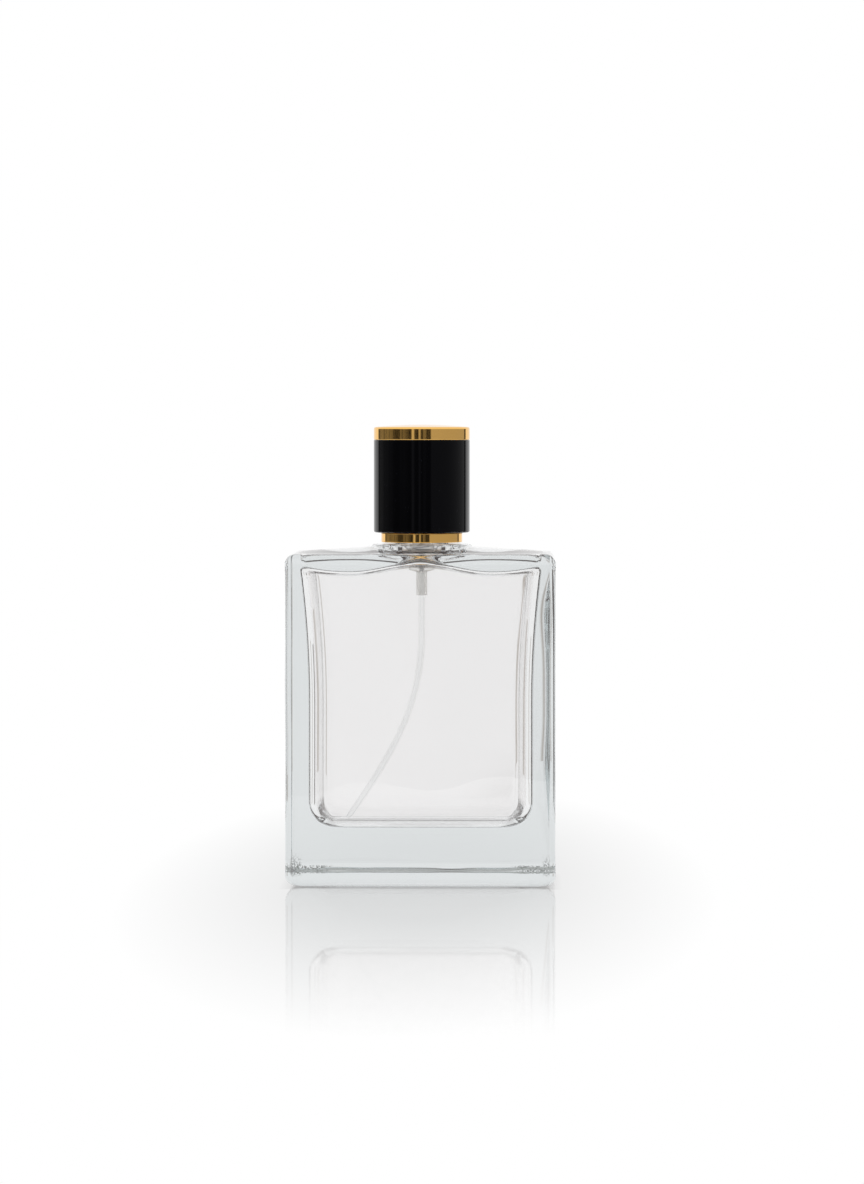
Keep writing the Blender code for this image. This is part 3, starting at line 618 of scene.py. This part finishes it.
def outside_rings():
    """From the hollow under the base, up the walls and over the shoulder to the neck's boss."""
    inner = RIM_WIDTH + HEEL_RADIUS
    deeper = HEEL_REACH - HEEL_RADIUS
    hollow_corner, rim_corner = 5.0, 4.5
    rings = []
    for share in spread(0, 1, 4):
        inset = inner + PUSH_UP_RUN * (1 - share)
        height = PUSH_UP * (1 + math.cos(math.pi * share)) / 2
        corner = hollow_corner if share < 1 else rim_corner
        rings.append(at_height(outer_outline(inset, corner, inset + deeper), height))
    for share in spread(0, 1, HEEL_STEPS):
        z = HEEL_RISE * (1 - math.cos(math.pi / 2 * share))
        inset = quarter_inset(z, HEEL_RADIUS, HEEL_RADIUS)
        front_inset = quarter_inset(z, HEEL_RISE, HEEL_REACH)
        corner = PLAN_RADIUS + 0.6 * (front_inset - inset)
        rings.append(at_height(outer_outline(inset, corner, front_inset), z))
    for z in supported(HEEL_RISE, SHOULDER_Z - EDGE_RADIUS, WALL_STEPS):
        rings.append(at_height(outer_outline(0.0, rear_right=rear_right_radius(z)), z))
    for r, z in arc((0, SHOULDER_Z - EDGE_RADIUS), EDGE_RADIUS, 0, 90, 14):
        rings.append(at_height(outer_outline(EDGE_RADIUS - r), z))
    foot_radius = BOSS_RADIUS + 0.2 + BOSS_FOOT
    edge, foot = outer_outline(EDGE_RADIUS), circle(foot_radius)
    for share in spread(0, 1, SHOULDER_STEPS)[1:]:
        rings.append(at_height(mixed(edge, foot, share), shoulder_height))
    for r, rise in arc((foot_radius, BOSS_FOOT), BOSS_FOOT, -90, -150, 8)[1:]:
        rings.append(at_height(circle(r), lambda x, y, rise=rise: shoulder_height(x, y) + rise))
    for r, z in arc((BOSS_RADIUS - BOSS_EDGE, BOSS_TOP - BOSS_EDGE), BOSS_EDGE, 10, 90, 10):
        rings.append(at_height(circle(r), z))
    return rings


def neck_rings():
    """Up the outside of the neck, over the crimping bead and down the bore."""
    bead_bottom = NECK_TOP - BEAD_HEIGHT
    profile = eased(
        [
            (BOSS_RADIUS - 1, BOSS_TOP),
            (NECK_RADIUS, BOSS_TOP, 0.5),
            (NECK_RADIUS, bead_bottom - 0.7, 0.3),
            (BEAD_RADIUS, bead_bottom, 0.3),
            (BEAD_RADIUS, NECK_TOP, 0.6),
            (BORE_RADIUS, NECK_TOP, 0.4),
            (BORE_RADIUS, BOSS_TOP - 1.7, 1.5),
            (BORE_RADIUS + 0.8, BOSS_TOP - 3.8),
        ],
        closed=False,
    )
    return [at_height(circle(r), z) for r, z in profile[1:]]


def cavity_half_width(z):
    if z < WAIST_Z:
        return WAIST_HALF_WIDTH
    share = (z - WAIST_Z) / (CEILING_LOW - WAIST_Z)
    return WAIST_HALF_WIDTH + (TOP_HALF_WIDTH - WAIST_HALF_WIDTH) * share**2


def inside_rings():
    """From the bore's mouth, across the roof, down the walls and over the floor."""
    half_y = HALF_DEPTH - FRONT_WALL
    mouth = circle(BORE_RADIUS + 1.9)
    roof = rounded_rectangle(
        TOP_HALF_WIDTH - CEILING_EDGE, half_y - CEILING_EDGE, CAVITY_CORNER - CEILING_EDGE
    )
    rings = [
        at_height(mixed(mouth, roof, share), ceiling_height)
        for share in spread(0, 1, SHOULDER_STEPS)
    ]
    for r, drop in arc((0, -CEILING_EDGE), CEILING_EDGE, 90, 0, 8)[1:]:
        inset = CEILING_EDGE - r
        outline = rounded_rectangle(TOP_HALF_WIDTH - inset, half_y - inset, CAVITY_CORNER - inset)
        rings.append(at_height(outline, lambda x, y, drop=drop: ceiling_height(x, y) + drop))
    low_edge = FLOOR_Z + FLOOR_RADIUS
    for z in supported(CEILING_LOW - CEILING_EDGE, low_edge, HOLLOW_STEPS):
        outline = rounded_rectangle(cavity_half_width(z), half_y, CAVITY_CORNER)
        rings.append(at_height(outline, z))
    for angle in spread(0, 90, HEEL_STEPS):
        drop = FLOOR_RADIUS * math.sin(math.radians(angle))
        inset = FLOOR_RADIUS * (1 - math.cos(math.radians(angle)))
        front = max(0.0, drop - (FLOOR_RADIUS - FLOOR_FRONT_RADIUS)) / FLOOR_FRONT_RADIUS
        front_inset = FLOOR_FRONT_RADIUS * (1 - math.sqrt(max(0.0, 1 - front**2)))
        outline = rounded_rectangle(
            WAIST_HALF_WIDTH - inset,
            half_y - front_inset,
            CAVITY_CORNER - 0.3 * front_inset,
        )
        rings.append(at_height(outline, low_edge - drop))
    middle = rounded_rectangle(WAIST_HALF_WIDTH - 14, half_y - 10, 3.0)
    rings.append(at_height(middle, FLOOR_Z + 0.3))
    return rings


def ripple(x, y, z):
    """How far, in millimetres, the moulded walls stray inwards from flat at a point."""
    above = min(1.0, max(0.0, (z - RIPPLE_MARGIN) / RIPPLE_RUN))
    below = min(1.0, max(0.0, (SHOULDER_Z - RIPPLE_MARGIN - z) / RIPPLE_RUN))
    level, upright, offset = 0.05, 0.07, 7  # waves per millimetre, and where the pattern starts
    swell = noise.noise(Vector((x * level + offset, y * level, z * upright)))
    return RIPPLE * above * below * (0.5 + 0.5 * swell)


def moulded(rings):
    """The outer walls' rings, drawn in by the ripple of hand-polished glass."""
    made = []
    for ring in rings:
        row = []
        for x, y, z in ring:
            across = max(0.0, abs(x) / HALF_WIDTH - 1 + EDGE_SHARE) / EDGE_SHARE
            along = max(0.0, abs(y) / HALF_DEPTH - 1 + EDGE_SHARE) / EDGE_SHARE
            stray = ripple(x, y, z)
            inward_x = math.copysign(stray * across, x)
            inward_y = math.copysign(stray * along, y)
            row.append((x - inward_x, y - inward_y, z))
        made.append(row)
    return made


def glass_body():
    rings = moulded(outside_rings()) + neck_rings() + inside_rings()
    return add_piece(
        "glass_body",
        lofted(rings),
        clear_glass(),
        "bottle",
        ["glass_bottle"],
        sharp=None,
    )


# ---------------------------------------------------------------- gold and black outside


def collar():
    """The drawn gold collar: a flange under the cap, and a cylinder inside it."""
    flange, radius = SLEEVE_HIGH.x, 9.75
    bottom, top, flange_top = SLEEVE_LOW.z, SLEEVE_HIGH.z, 89.0
    well, sheet, skirt, ledge = 7.3, 0.4, 0.45, 0.5
    outline = eased(
        [
            (flange - skirt, bottom),
            (flange, bottom, 0.22),
            (flange, flange_top, 0.2),
            (radius, flange_top, 0.1),
            (radius, top, 0.5),
            (well, top, 0.15),
            (well, top - sheet),
            (radius - sheet, top - sheet, 0.15),
            (radius - sheet, flange_top - ledge),
            (flange - skirt, flange_top - ledge),
        ]
    )
    gold = gold_metal("collar_gold")
    return add_piece(
        "collar", spun(outline), gold, "bottle", ["collar_sleeve"]
    )


def cap_tube():
    """The gloss black outside of the cap."""
    radius, wall, gap = SHELL_HIGH.x, 0.65, 0.04
    bottom, top = SHELL_LOW.z, BAND_LOW.z - gap
    outline = eased(
        [
            (radius - wall, bottom),
            (radius, bottom, 0.45),
            (radius, top, 0.12),
            (radius - wall, top),
        ]
    )
    return add_piece(
        "cap_tube", spun(outline), black_gloss(), "cap", ["cap_shell"]
    )


def cap_band():
    """The gold cover on the cap: a shallow drawn cup with a low crown."""
    radius, bottom, top = BAND_HIGH.x, BAND_LOW.z, BAND_HIGH.z
    edge, wall, ceiling = 115.85, 0.65, 115.25
    crown = top - edge
    domed = [
        (radius * share, top - crown * share**2) for share in spread(0, 0.94, 24)
    ]
    outline = domed + eased(
        [
            domed[-1],
            (radius, edge, 0.5),
            (radius, bottom, 0.22),
            (radius - wall, bottom),
            (radius - wall, ceiling, 0.2),
            (0, ceiling),
        ],
        closed=False,
    )[1:]
    gold = gold_metal("band_gold")
    return add_piece(
        "cap_band",
        spun(outline, closed=False),
        gold,
        "cap",
        ["cap_top_band"],
    )


# ---------------------------------------------------------------- pump


def pump_housing(material):
    """The translucent barrel, with the ball's cell in its foot and the tube's socket below."""
    flange, barrel, foot, tail = HOUSING_HIGH.x, 4.55, 3.3, 1.35
    bore, way_in, cell, seat, socket = 2.9, 0.85, 1.45, 0.6, 0.95
    flange_low, flange_top, bore_floor, bottom = 94.3, 95.1, 82.9, HOUSING_LOW.z
    outline = eased(
        [
            (barrel, flange_low, 0.15),
            (flange, flange_low, 0.1),
            (flange, flange_top, 0.1),
            (bore, flange_top, 0.15),
            (bore, bore_floor, 0.1),
            (way_in, bore_floor),
            (way_in, 82.6),
            (cell, 82.5),
            (cell, 81.0),
            (seat, 80.2),
            (seat, 79.75),
            (socket, 79.5),
            (socket, bottom),
            (tail, bottom, 0.15),
            (tail, 79.4, 0.35),
            (foot, 80.0, 0.35),
            (foot, bore_floor, 0.5),
            (barrel, 85.0, 0.5),
        ]
    )
    return add_piece(
        "housing", spun(outline, 96), material, "bottle", ["pump_housing"]
    )


def dip_tube(material):
    """The clear tube: straight down from the barrel, then one easy curve to the lower left."""
    lean = math.radians(34.0)
    outer, inner, sides = 0.8, 0.45, 32
    top, start, tip, ease = 79.2, Vector((0, 0, 64.0)), Vector((-19.0, 0, 15.9)), 20.0
    start_handle = start - Vector((0, 0, ease))
    tip_handle = tip + Vector((math.sin(lean), 0, math.cos(lean))) * ease
    path = [Vector((0, 0, z)) for z in spread(top, start.z + 2, 6)]
    for t in spread(0, 1, 64):
        path.append(
            start * (1 - t) ** 3
            + start_handle * 3 * t * (1 - t) ** 2
            + tip_handle * 3 * t**2 * (1 - t)
            + tip * t**3
        )
    rings = swept_rings(path, outer, sides) + swept_rings(path, inner, sides)[::-1]
    return add_piece(
        "tube", lofted(rings, closed=True), material, "bottle", ["dip_tube"]
    )


def return_spring(material):
    """The helix under the valve pin, which shortens as the pump is pressed."""
    wire, coil, turns, steps = 0.2, 2.2, 6.5, 270
    even = 0.65  # how much of the climb is even; the rest is slow at the closed ends
    bottom, top = SPRING_LOW.z + wire, SPRING_HIGH.z - wire
    path = []
    for share in spread(0, 1, steps):
        flat = share - math.sin(math.tau * share) / math.tau
        height = bottom + (top - bottom) * ((1 - even) * flat + even * share)
        angle = math.tau * turns * share
        path.append(Vector((coil * math.cos(angle), coil * math.sin(angle), height)))
    rings = swept_rings(path, wire, 12)
    made = add_piece("spring", lofted(rings), material, "bottle", ["return_spring"])
    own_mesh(made)
    return made


def inlet_ball(material):
    """The check ball, on its seat."""
    bm = bmesh.new()
    bmesh.ops.create_uvsphere(bm, u_segments=40, v_segments=20, radius=BALL_RADIUS * MM)
    bmesh.ops.translate(bm, verts=bm.verts, vec=(0, 0, BALL_Z * MM))
    return add_piece("ball", bm, material, "ball", ["inlet_ball"])


def ferrule(material):
    """The drawn aluminium cup whose lower edge is rolled in under the neck's bead."""
    inner, outer, rolled_in, hole = 7.8, 8.2, 6.9, 3.6
    lip, top, sheet = 88.9, 97.3, 0.4
    outline = eased(
        [
            (rolled_in, lip),
            (outer, lip, 0.38),
            (outer, top, 0.6),
            (hole, top, 0.1),
            (hole, top - sheet),
            (inner, top - sheet, 0.2),
            (inner, lip + sheet),
            (rolled_in, lip + sheet),
        ]
    )
    return add_piece(
        "ferrule", spun(outline), material, "bottle", ["crimp_ferrule"]
    )


def turret_ring(material):
    """The ring under the ferrule that closes the barrel and guides the stem."""
    guide, collar_radius, recess, seat = 1.95, 3.1, 3.7, 7.5
    bottom, recess_top, seat_top, top = 95.4, 96.1, 96.6, 98.3
    outline = eased(
        [
            (recess, bottom),
            (seat, bottom, 0.1),
            (seat, seat_top, 0.2),
            (collar_radius, seat_top, 0.1),
            (collar_radius, top, 0.3),
            (guide, top, 0.2),
            (guide, recess_top),
            (recess, recess_top),
        ]
    )
    return add_piece(
        "turret_ring", spun(outline, 96), material, "bottle", ["turret"]
    )


def facing_front(bm, height):
    """Turns a bmesh made round the upright axis to face the front, at a height."""
    turn = Matrix.Rotation(math.radians(90), 4, "X")
    bm.transform(Matrix.Translation((0, 0, height * MM)) @ turn)
    return bm


def pierced(bm, cutter):
    """A bmesh less another."""
    made = []
    for part in (bm, cutter):
        bmesh.ops.recalc_face_normals(part, faces=part.faces)
        mesh = bpy.data.meshes.new("cut")
        part.to_mesh(mesh)
        part.free()
        made.append(bpy.data.objects.new("cut", mesh))
        bpy.context.scene.collection.objects.link(made[-1])
    modifier = made[0].modifiers.new("cut", "BOOLEAN")
    modifier.operation = "DIFFERENCE"
    modifier.solver = "EXACT"
    modifier.object = made[1]
    result = bmesh.new()
    result.from_object(made[0], bpy.context.evaluated_depsgraph_get())
    for obj in made:
        bpy.data.objects.remove(obj)
    return result


def button(material):
    """The drawn gold cover of the button, with a shallow dish for the finger."""
    radius, bottom, top = BUTTON_HIGH.x, BUTTON_LOW.z, BUTTON_HIGH.z
    dish, depth, wall, opening = 5.2, 0.3, 0.35, 1.8
    ceiling = top - depth - 0.4
    dished = [
        (dish * share, top - depth * math.cos(math.pi / 2 * share) ** 2)
        for share in spread(0, 1, 14)
    ]
    outline = dished + eased(
        [
            dished[-1],
            (radius, top, 0.8),
            (radius, bottom, 0.1),
            (radius - wall, bottom),
            (radius - wall, ceiling, 0.35),
            (0, ceiling),
        ],
        closed=False,
    )[1:]
    back, front = radius - 2, radius + 1
    drill = spun([(0, back), (opening, back), (opening, front), (0, front)], 64, closed=False)
    shell = pierced(spun(outline, closed=False), facing_front(drill, NOZZLE_Z))
    return add_piece("button", shell, material, "actuator", ["actuator_shell"])


def nozzle(material):
    """The small cup with the spray hole."""
    front, back, wall = 6.9, 4.0, 6.1
    outer, inner, flare, hole = 1.6, 1.05, 0.45, 0.2
    outline = eased(
        [
            (inner, back),
            (outer, back),
            (outer, front, 0.15),
            (flare, front, 0.05),
            (hole, front - 0.3),
            (hole, wall),
            (inner, wall),
        ]
    )
    cup = facing_front(spun(outline, 64), NOZZLE_Z)
    return add_piece("nozzle", cup, material, "actuator", ["nozzle_insert"])


# ---------------------------------------------------------------- pump and CAD nodes together


def dress(node, material):
    """Gives a CAD node its material."""
    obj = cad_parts[node]
    obj.data.shade_smooth()
    obj.data.set_sharp_from_angle(angle=math.radians(34))
    if not obj.material_slots:
        obj.data.materials.append(material)
    for slot in obj.material_slots:
        slot.link = "OBJECT"
        slot.material = material


def pump_and_fittings():
    """The pump's pieces, and the CAD nodes that are shown as they are."""
    white = moulded_plastic("white_plastic", (0.86, 0.86, 0.85), 0.38, subsurface=0.2)
    natural = moulded_plastic("natural_plastic", (0.99, 0.985, 0.97), 0.2, 0.9, ior=1.13)
    tube = moulded_plastic("clear_tube", (0.995, 1.0, 1.0), 0.1, 1.0, ior=1.09)
    steel = bare_metal("bright_steel", (0.62, 0.62, 0.64), 0.12, 0.24)
    aluminium = bare_metal("bare_aluminium", (0.86, 0.87, 0.88), 0.2, 0.34)
    gold = gold_metal("actuator_gold")
    gasket = rubber("gasket_rubber", (0.72, 0.71, 0.67))
    seal = rubber("seal_rubber", (0.03, 0.03, 0.032))
    for node in (
        "collar_insert",
        "stem",
        "valve_pin",
        "piston",
        "actuator_core",
        "cap_liner",
    ):
        dress(node, white)
    pump_housing(natural)
    dip_tube(tube)
    return_spring(steel)
    inlet_ball(steel)
    ferrule(aluminium)
    turret_ring(white)
    button(gold)
    nozzle(white)
    dress("neck_gasket", gasket)
    dress("stem_seal", seal)


# ---------------------------------------------------------------- studio


MIRROR_TOP = 1.5  # degrees above the horizon where the flags that mirrors see end
GLASS_TOP = 8.0  # degrees from the horizon where the gaps that glass sees end, above and below
STRAIGHT_SHARE = 0.12  # how strongly the gaps show through flat glass, without an inner reflection
GAP_WARMTH = 0.35  # how far a grey between white and the middle of a gap turns warm
STREAK_SCALE = 150.0
STREAK_STRENGTHS = (0.25, 1.75)  # what the streaks multiply a dark flag by
DARK_GREY = 0.4  # flags darker than this are streaky

# what a mirror sees round the studio: (degrees from the camera's side, positive to the right, grey)
MIRROR_STOPS = [
    (-180, 1.0),
    (-128, 1.0),
    (-126, 0.03),
    (-122, 0.03),
    (-120, 0.22),
    (-74, 0.16),
    (-70, 0.06),
    (-55, 0.04),
    (-50, 0.16),
    (-34, 0.10),
    (-30, 0.04),
    (-24, 0.04),
    (-22, 0.62),
    (-18, 0.62),
    (-16, 0.05),
    (-6, 0.05),
    (-5, 0.48),
    (-2, 0.48),
    (-1, 0.05),
    (4, 0.05),
    (6, 0.20),
    (10, 0.20),
    (12, 0.05),
    (23, 0.05),
    (24, 0.50),
    (124, 0.46),
    (126, 0.05),
    (132, 0.05),
    (134, 1.0),
    (180, 1.0),
]

# what glass sees round the studio: white, with a soft dark gap between each two of its panels
GLASS_GAPS = [  # (degrees, grey, half its width)
    (-157, 0.5, 6),
    (-113, 0.4, 6),
    (-82, 0.1, 8),
    (-23, 0.4, 6),
    (4, 0.1, 3),
    (23, 0.4, 6),
    (68, 0.4, 6),
    (113, 0.4, 6),
    (157, 0.5, 6),
]
GLASS_STOPS = [(-180, 1.0)]
for gap, depth, half in GLASS_GAPS:
    GLASS_STOPS += [(gap - half, 1.0), (gap, depth), (gap + half, 1.0)]
GLASS_STOPS.append((180, 1.0))

# table
TABLE_RADIUS = 360.0
TABLE_DROP = 0.05  # below the base
MIRROR_SHARE = 0.55  # how strongly the table mirrors at the bottle
MIRROR_FADE = (20.0, 300.0)  # how far out its mirroring starts to fade, and where it has gone
MIRROR_IN_GLASS = 0.3  # what is left of the mirroring when it is seen through glass
# the table's painted shade: a greyer patch round the bottle and a painted contact shadow under it
PAINTED_SHADE_WIDTH, PAINTED_SHADE_DEPTH = 75.0, 300.0  # half sizes of the greyer patch of painted shade round the bottle
PAINTED_SHADE_GREY, PAINTED_SHADE_GREY_IN_GLASS = 0.81, 0.94
PAINTED_SHADOW_GREY, PAINTED_SHADOW_GREY_IN_GLASS = 0.75, 1.05
PAINTED_SHADOW_EDGE = (0.85, 1.05)  # shares of the bottle's half sizes between which the painted shadow ends
GAPS_FROM = (100.0, 160.0)  # how far out the gaps start to show on the table, and show fully


def compass_turn(made, direction):
    """How far round a direction points, from 0 at the back over 0.5 in front to 1."""
    parts = made.parts_of(direction)
    ahead = made.product(parts["Y"], -1.0)
    angle = made.number("ARCTAN2", parts["X"], ahead)
    return made.number("ADD", made.number("DIVIDE", angle, math.tau), 0.5)


def compass_colour(made, turn, stops, warmth=0.0):
    """A colour ramp over the compass, from stops of (degrees from the front, grey)."""
    node = made.add("ShaderNodeValToRGB")
    ramp = node.color_ramp
    ends = (ramp.elements[0], ramp.elements[1])
    for angle, grey in stops:
        if abs(angle) < 180:
            element = ramp.elements.new((angle + 180) / 360)
        else:
            element = ends[angle > 0]
        cooler = grey * (1 - warmth * (1 - grey))
        element.color = (grey, (grey + cooler) / 2, cooler, 1)
    made.put(turn, node.inputs[0])
    return node.outputs["Color"]


def gap_strength(made, path):
    """How strongly a ray shows the gaps: only through glass, and weakly if not reflected in it."""
    reflections = made.number("SUBTRACT", path["Ray Depth"], path["Transmission Depth"])
    return made.product(path["Is Transmission Ray"], made.ranged(reflections, STRAIGHT_SHARE, 1.0))


def studio_world():
    """A white studio. Mirrors see its dark flags low down in front; glass sees thin gaps."""
    world = bpy.data.worlds.new("studio")
    bpy.context.scene.world = world
    world.use_nodes = True
    made = Tree(world.node_tree)
    direction = made.add("ShaderNodeTexCoord").outputs["Generated"]
    height = made.parts_of(direction)["Z"]
    turn = compass_turn(made, direction)
    path = made.add("ShaderNodeLightPath").outputs

    flags = compass_colour(made, turn, MIRROR_STOPS)
    streaks = made.add("ShaderNodeTexNoise", noise_dimensions="1D")
    made.put(STREAK_SCALE, streaks.inputs["Scale"])
    made.put(2.0, streaks.inputs["Detail"])
    made.put(turn, streaks.inputs["W"])
    strength = made.ranged(streaks.outputs["Fac"], *STREAK_STRENGTHS, 0.3, 0.7)
    streaky = made.add("ShaderNodeVectorMath", operation="SCALE")
    made.put(flags, streaky.inputs[0])
    made.put(strength, streaky.inputs["Scale"])
    dark = made.number("LESS_THAN", flags, DARK_GREY)
    flags = made.blended(dark, flags, streaky.outputs[0])
    low = made.number("LESS_THAN", height, math.sin(math.radians(MIRROR_TOP)))
    in_mirror = made.product(path["Is Glossy Ray"], path["Is Reflection Ray"], low)

    gaps = compass_colour(made, turn, GLASS_STOPS, GAP_WARMTH)
    off_horizon = made.number("ABSOLUTE", height)
    near = made.number("LESS_THAN", off_horizon, math.sin(math.radians(GLASS_TOP)))
    in_glass = made.product(gap_strength(made, path), near)

    colour = made.blended(in_mirror, (1.0, 1.0, 1.0), flags)
    background = made.tree.nodes["Background"]
    made.put(made.blended(in_glass, colour, gaps), background.inputs["Color"])
    made.put(1.0, background.inputs["Strength"])
    return world


def painted_table_shade(made, through):
    """Painted shade: greyer round the bottle and in its painted shadow, but not where it is seen
    through glass.
    """
    shade_patch_distance = made.length_of(made.coordinates((1 / (PAINTED_SHADE_WIDTH * MM), 1 / (PAINTED_SHADE_DEPTH * MM), 1)))
    shade_patch_grey = made.ranged(through, PAINTED_SHADE_GREY, PAINTED_SHADE_GREY_IN_GLASS)
    bottle = made.parts_of(made.coordinates((1 / HALF_WIDTH / MM, 1 / HALF_DEPTH / MM, 1)))
    across, along = made.number("ABSOLUTE", bottle["X"]), made.number("ABSOLUTE", bottle["Y"])
    reach = made.number("MAXIMUM", across, along)
    contact_shadow_grey = made.ranged(through, PAINTED_SHADOW_GREY, PAINTED_SHADOW_GREY_IN_GLASS)
    return made.product(
        made.ranged(shade_patch_distance, shade_patch_grey, 1.0, 0.3, 1.0),
        made.ranged(reach, contact_shadow_grey, 1.0, *PAINTED_SHADOW_EDGE),
    )


def table_white():
    """A bright white with painted shade round the bottle, that mirrors the bottle near it, with the
    studio's gaps seen through glass.
    """
    made = Surface("floor_white")
    made.tree.nodes.remove(made.shader)
    place = made.add("ShaderNodeTexCoord").outputs["Object"]
    distance = made.length_of(place)
    path = made.add("ShaderNodeLightPath").outputs
    through = path["Is Transmission Ray"]
    # the painted shade darkens both the table's glow and its mirror
    shaded_brightness = painted_table_shade(made, through)

    gaps = compass_colour(made, compass_turn(made, place), GLASS_STOPS, GAP_WARMTH)
    shown = made.product(made.fade(distance, *GAPS_FROM), gap_strength(made, path))
    white = made.add("ShaderNodeEmission")
    made.put(made.blended(shown, (1.0, 1.0, 1.0), gaps), white.inputs["Color"])
    made.put(shaded_brightness, white.inputs["Strength"])
    mirror = made.add("ShaderNodeBsdfGlossy")
    made.put(0.02, mirror.inputs["Roughness"])
    made.put(shaded_brightness, mirror.inputs["Color"])

    start, end = MIRROR_FADE
    fade = made.ranged(distance, MIRROR_SHARE, 0.0, start * MM, end * MM)
    both = made.add("ShaderNodeMixShader")
    made.put(made.product(fade, made.ranged(through, 1.0, MIRROR_IN_GLASS)), both.inputs[0])
    made.put(white.outputs[0], both.inputs[1])
    made.put(mirror.outputs[0], both.inputs[2])
    made.put(both.outputs[0], made.output.inputs["Surface"])
    return made.material


def floor():
    """A white glossy table whose mirror image fades away from the bottle."""
    bm = bmesh.new()
    bmesh.ops.create_circle(bm, cap_ends=True, segments=96, radius=TABLE_RADIUS * MM)
    bmesh.ops.translate(bm, verts=bm.verts, vec=(0, 0, -TABLE_DROP * MM))
    mesh = bpy.data.meshes.new("floor")
    bm.to_mesh(mesh)
    bm.free()
    mesh.materials.append(table_white())
    obj = bpy.data.objects.new("floor", mesh)
    bpy.context.scene.collection.objects.link(obj)
    return obj


def camera():
    """A long lens a little right of the bottle's axis, looking slightly down."""
    data = bpy.data.cameras.new("camera")
    data.lens = CAMERA_LENS
    data.clip_start, data.clip_end = 0.05, 50.0
    obj = bpy.data.objects.new("camera", data)
    bpy.context.scene.collection.objects.link(obj)
    obj.location = Vector((CAMERA_SIDE, -CAMERA_DISTANCE, CAMERA_HEIGHT)) * MM
    yaw = math.atan2(CAMERA_SIDE - AIM_RIGHT, CAMERA_DISTANCE)
    obj.rotation_euler = (math.radians(90 - CAMERA_PITCH), 0, yaw)
    bpy.context.scene.camera = obj
    return obj


def colour_management():
    """Shows the colours as they are worked out, with no film curve."""
    view = bpy.context.scene.view_settings
    view.view_transform = "Standard"
    view.look = "None"


# ---------------------------------------------------------------- assembly


glass_body()
collar()
cap_tube()
cap_band()
pump_and_fittings()
floor()
studio_world()
camera()
colour_management()
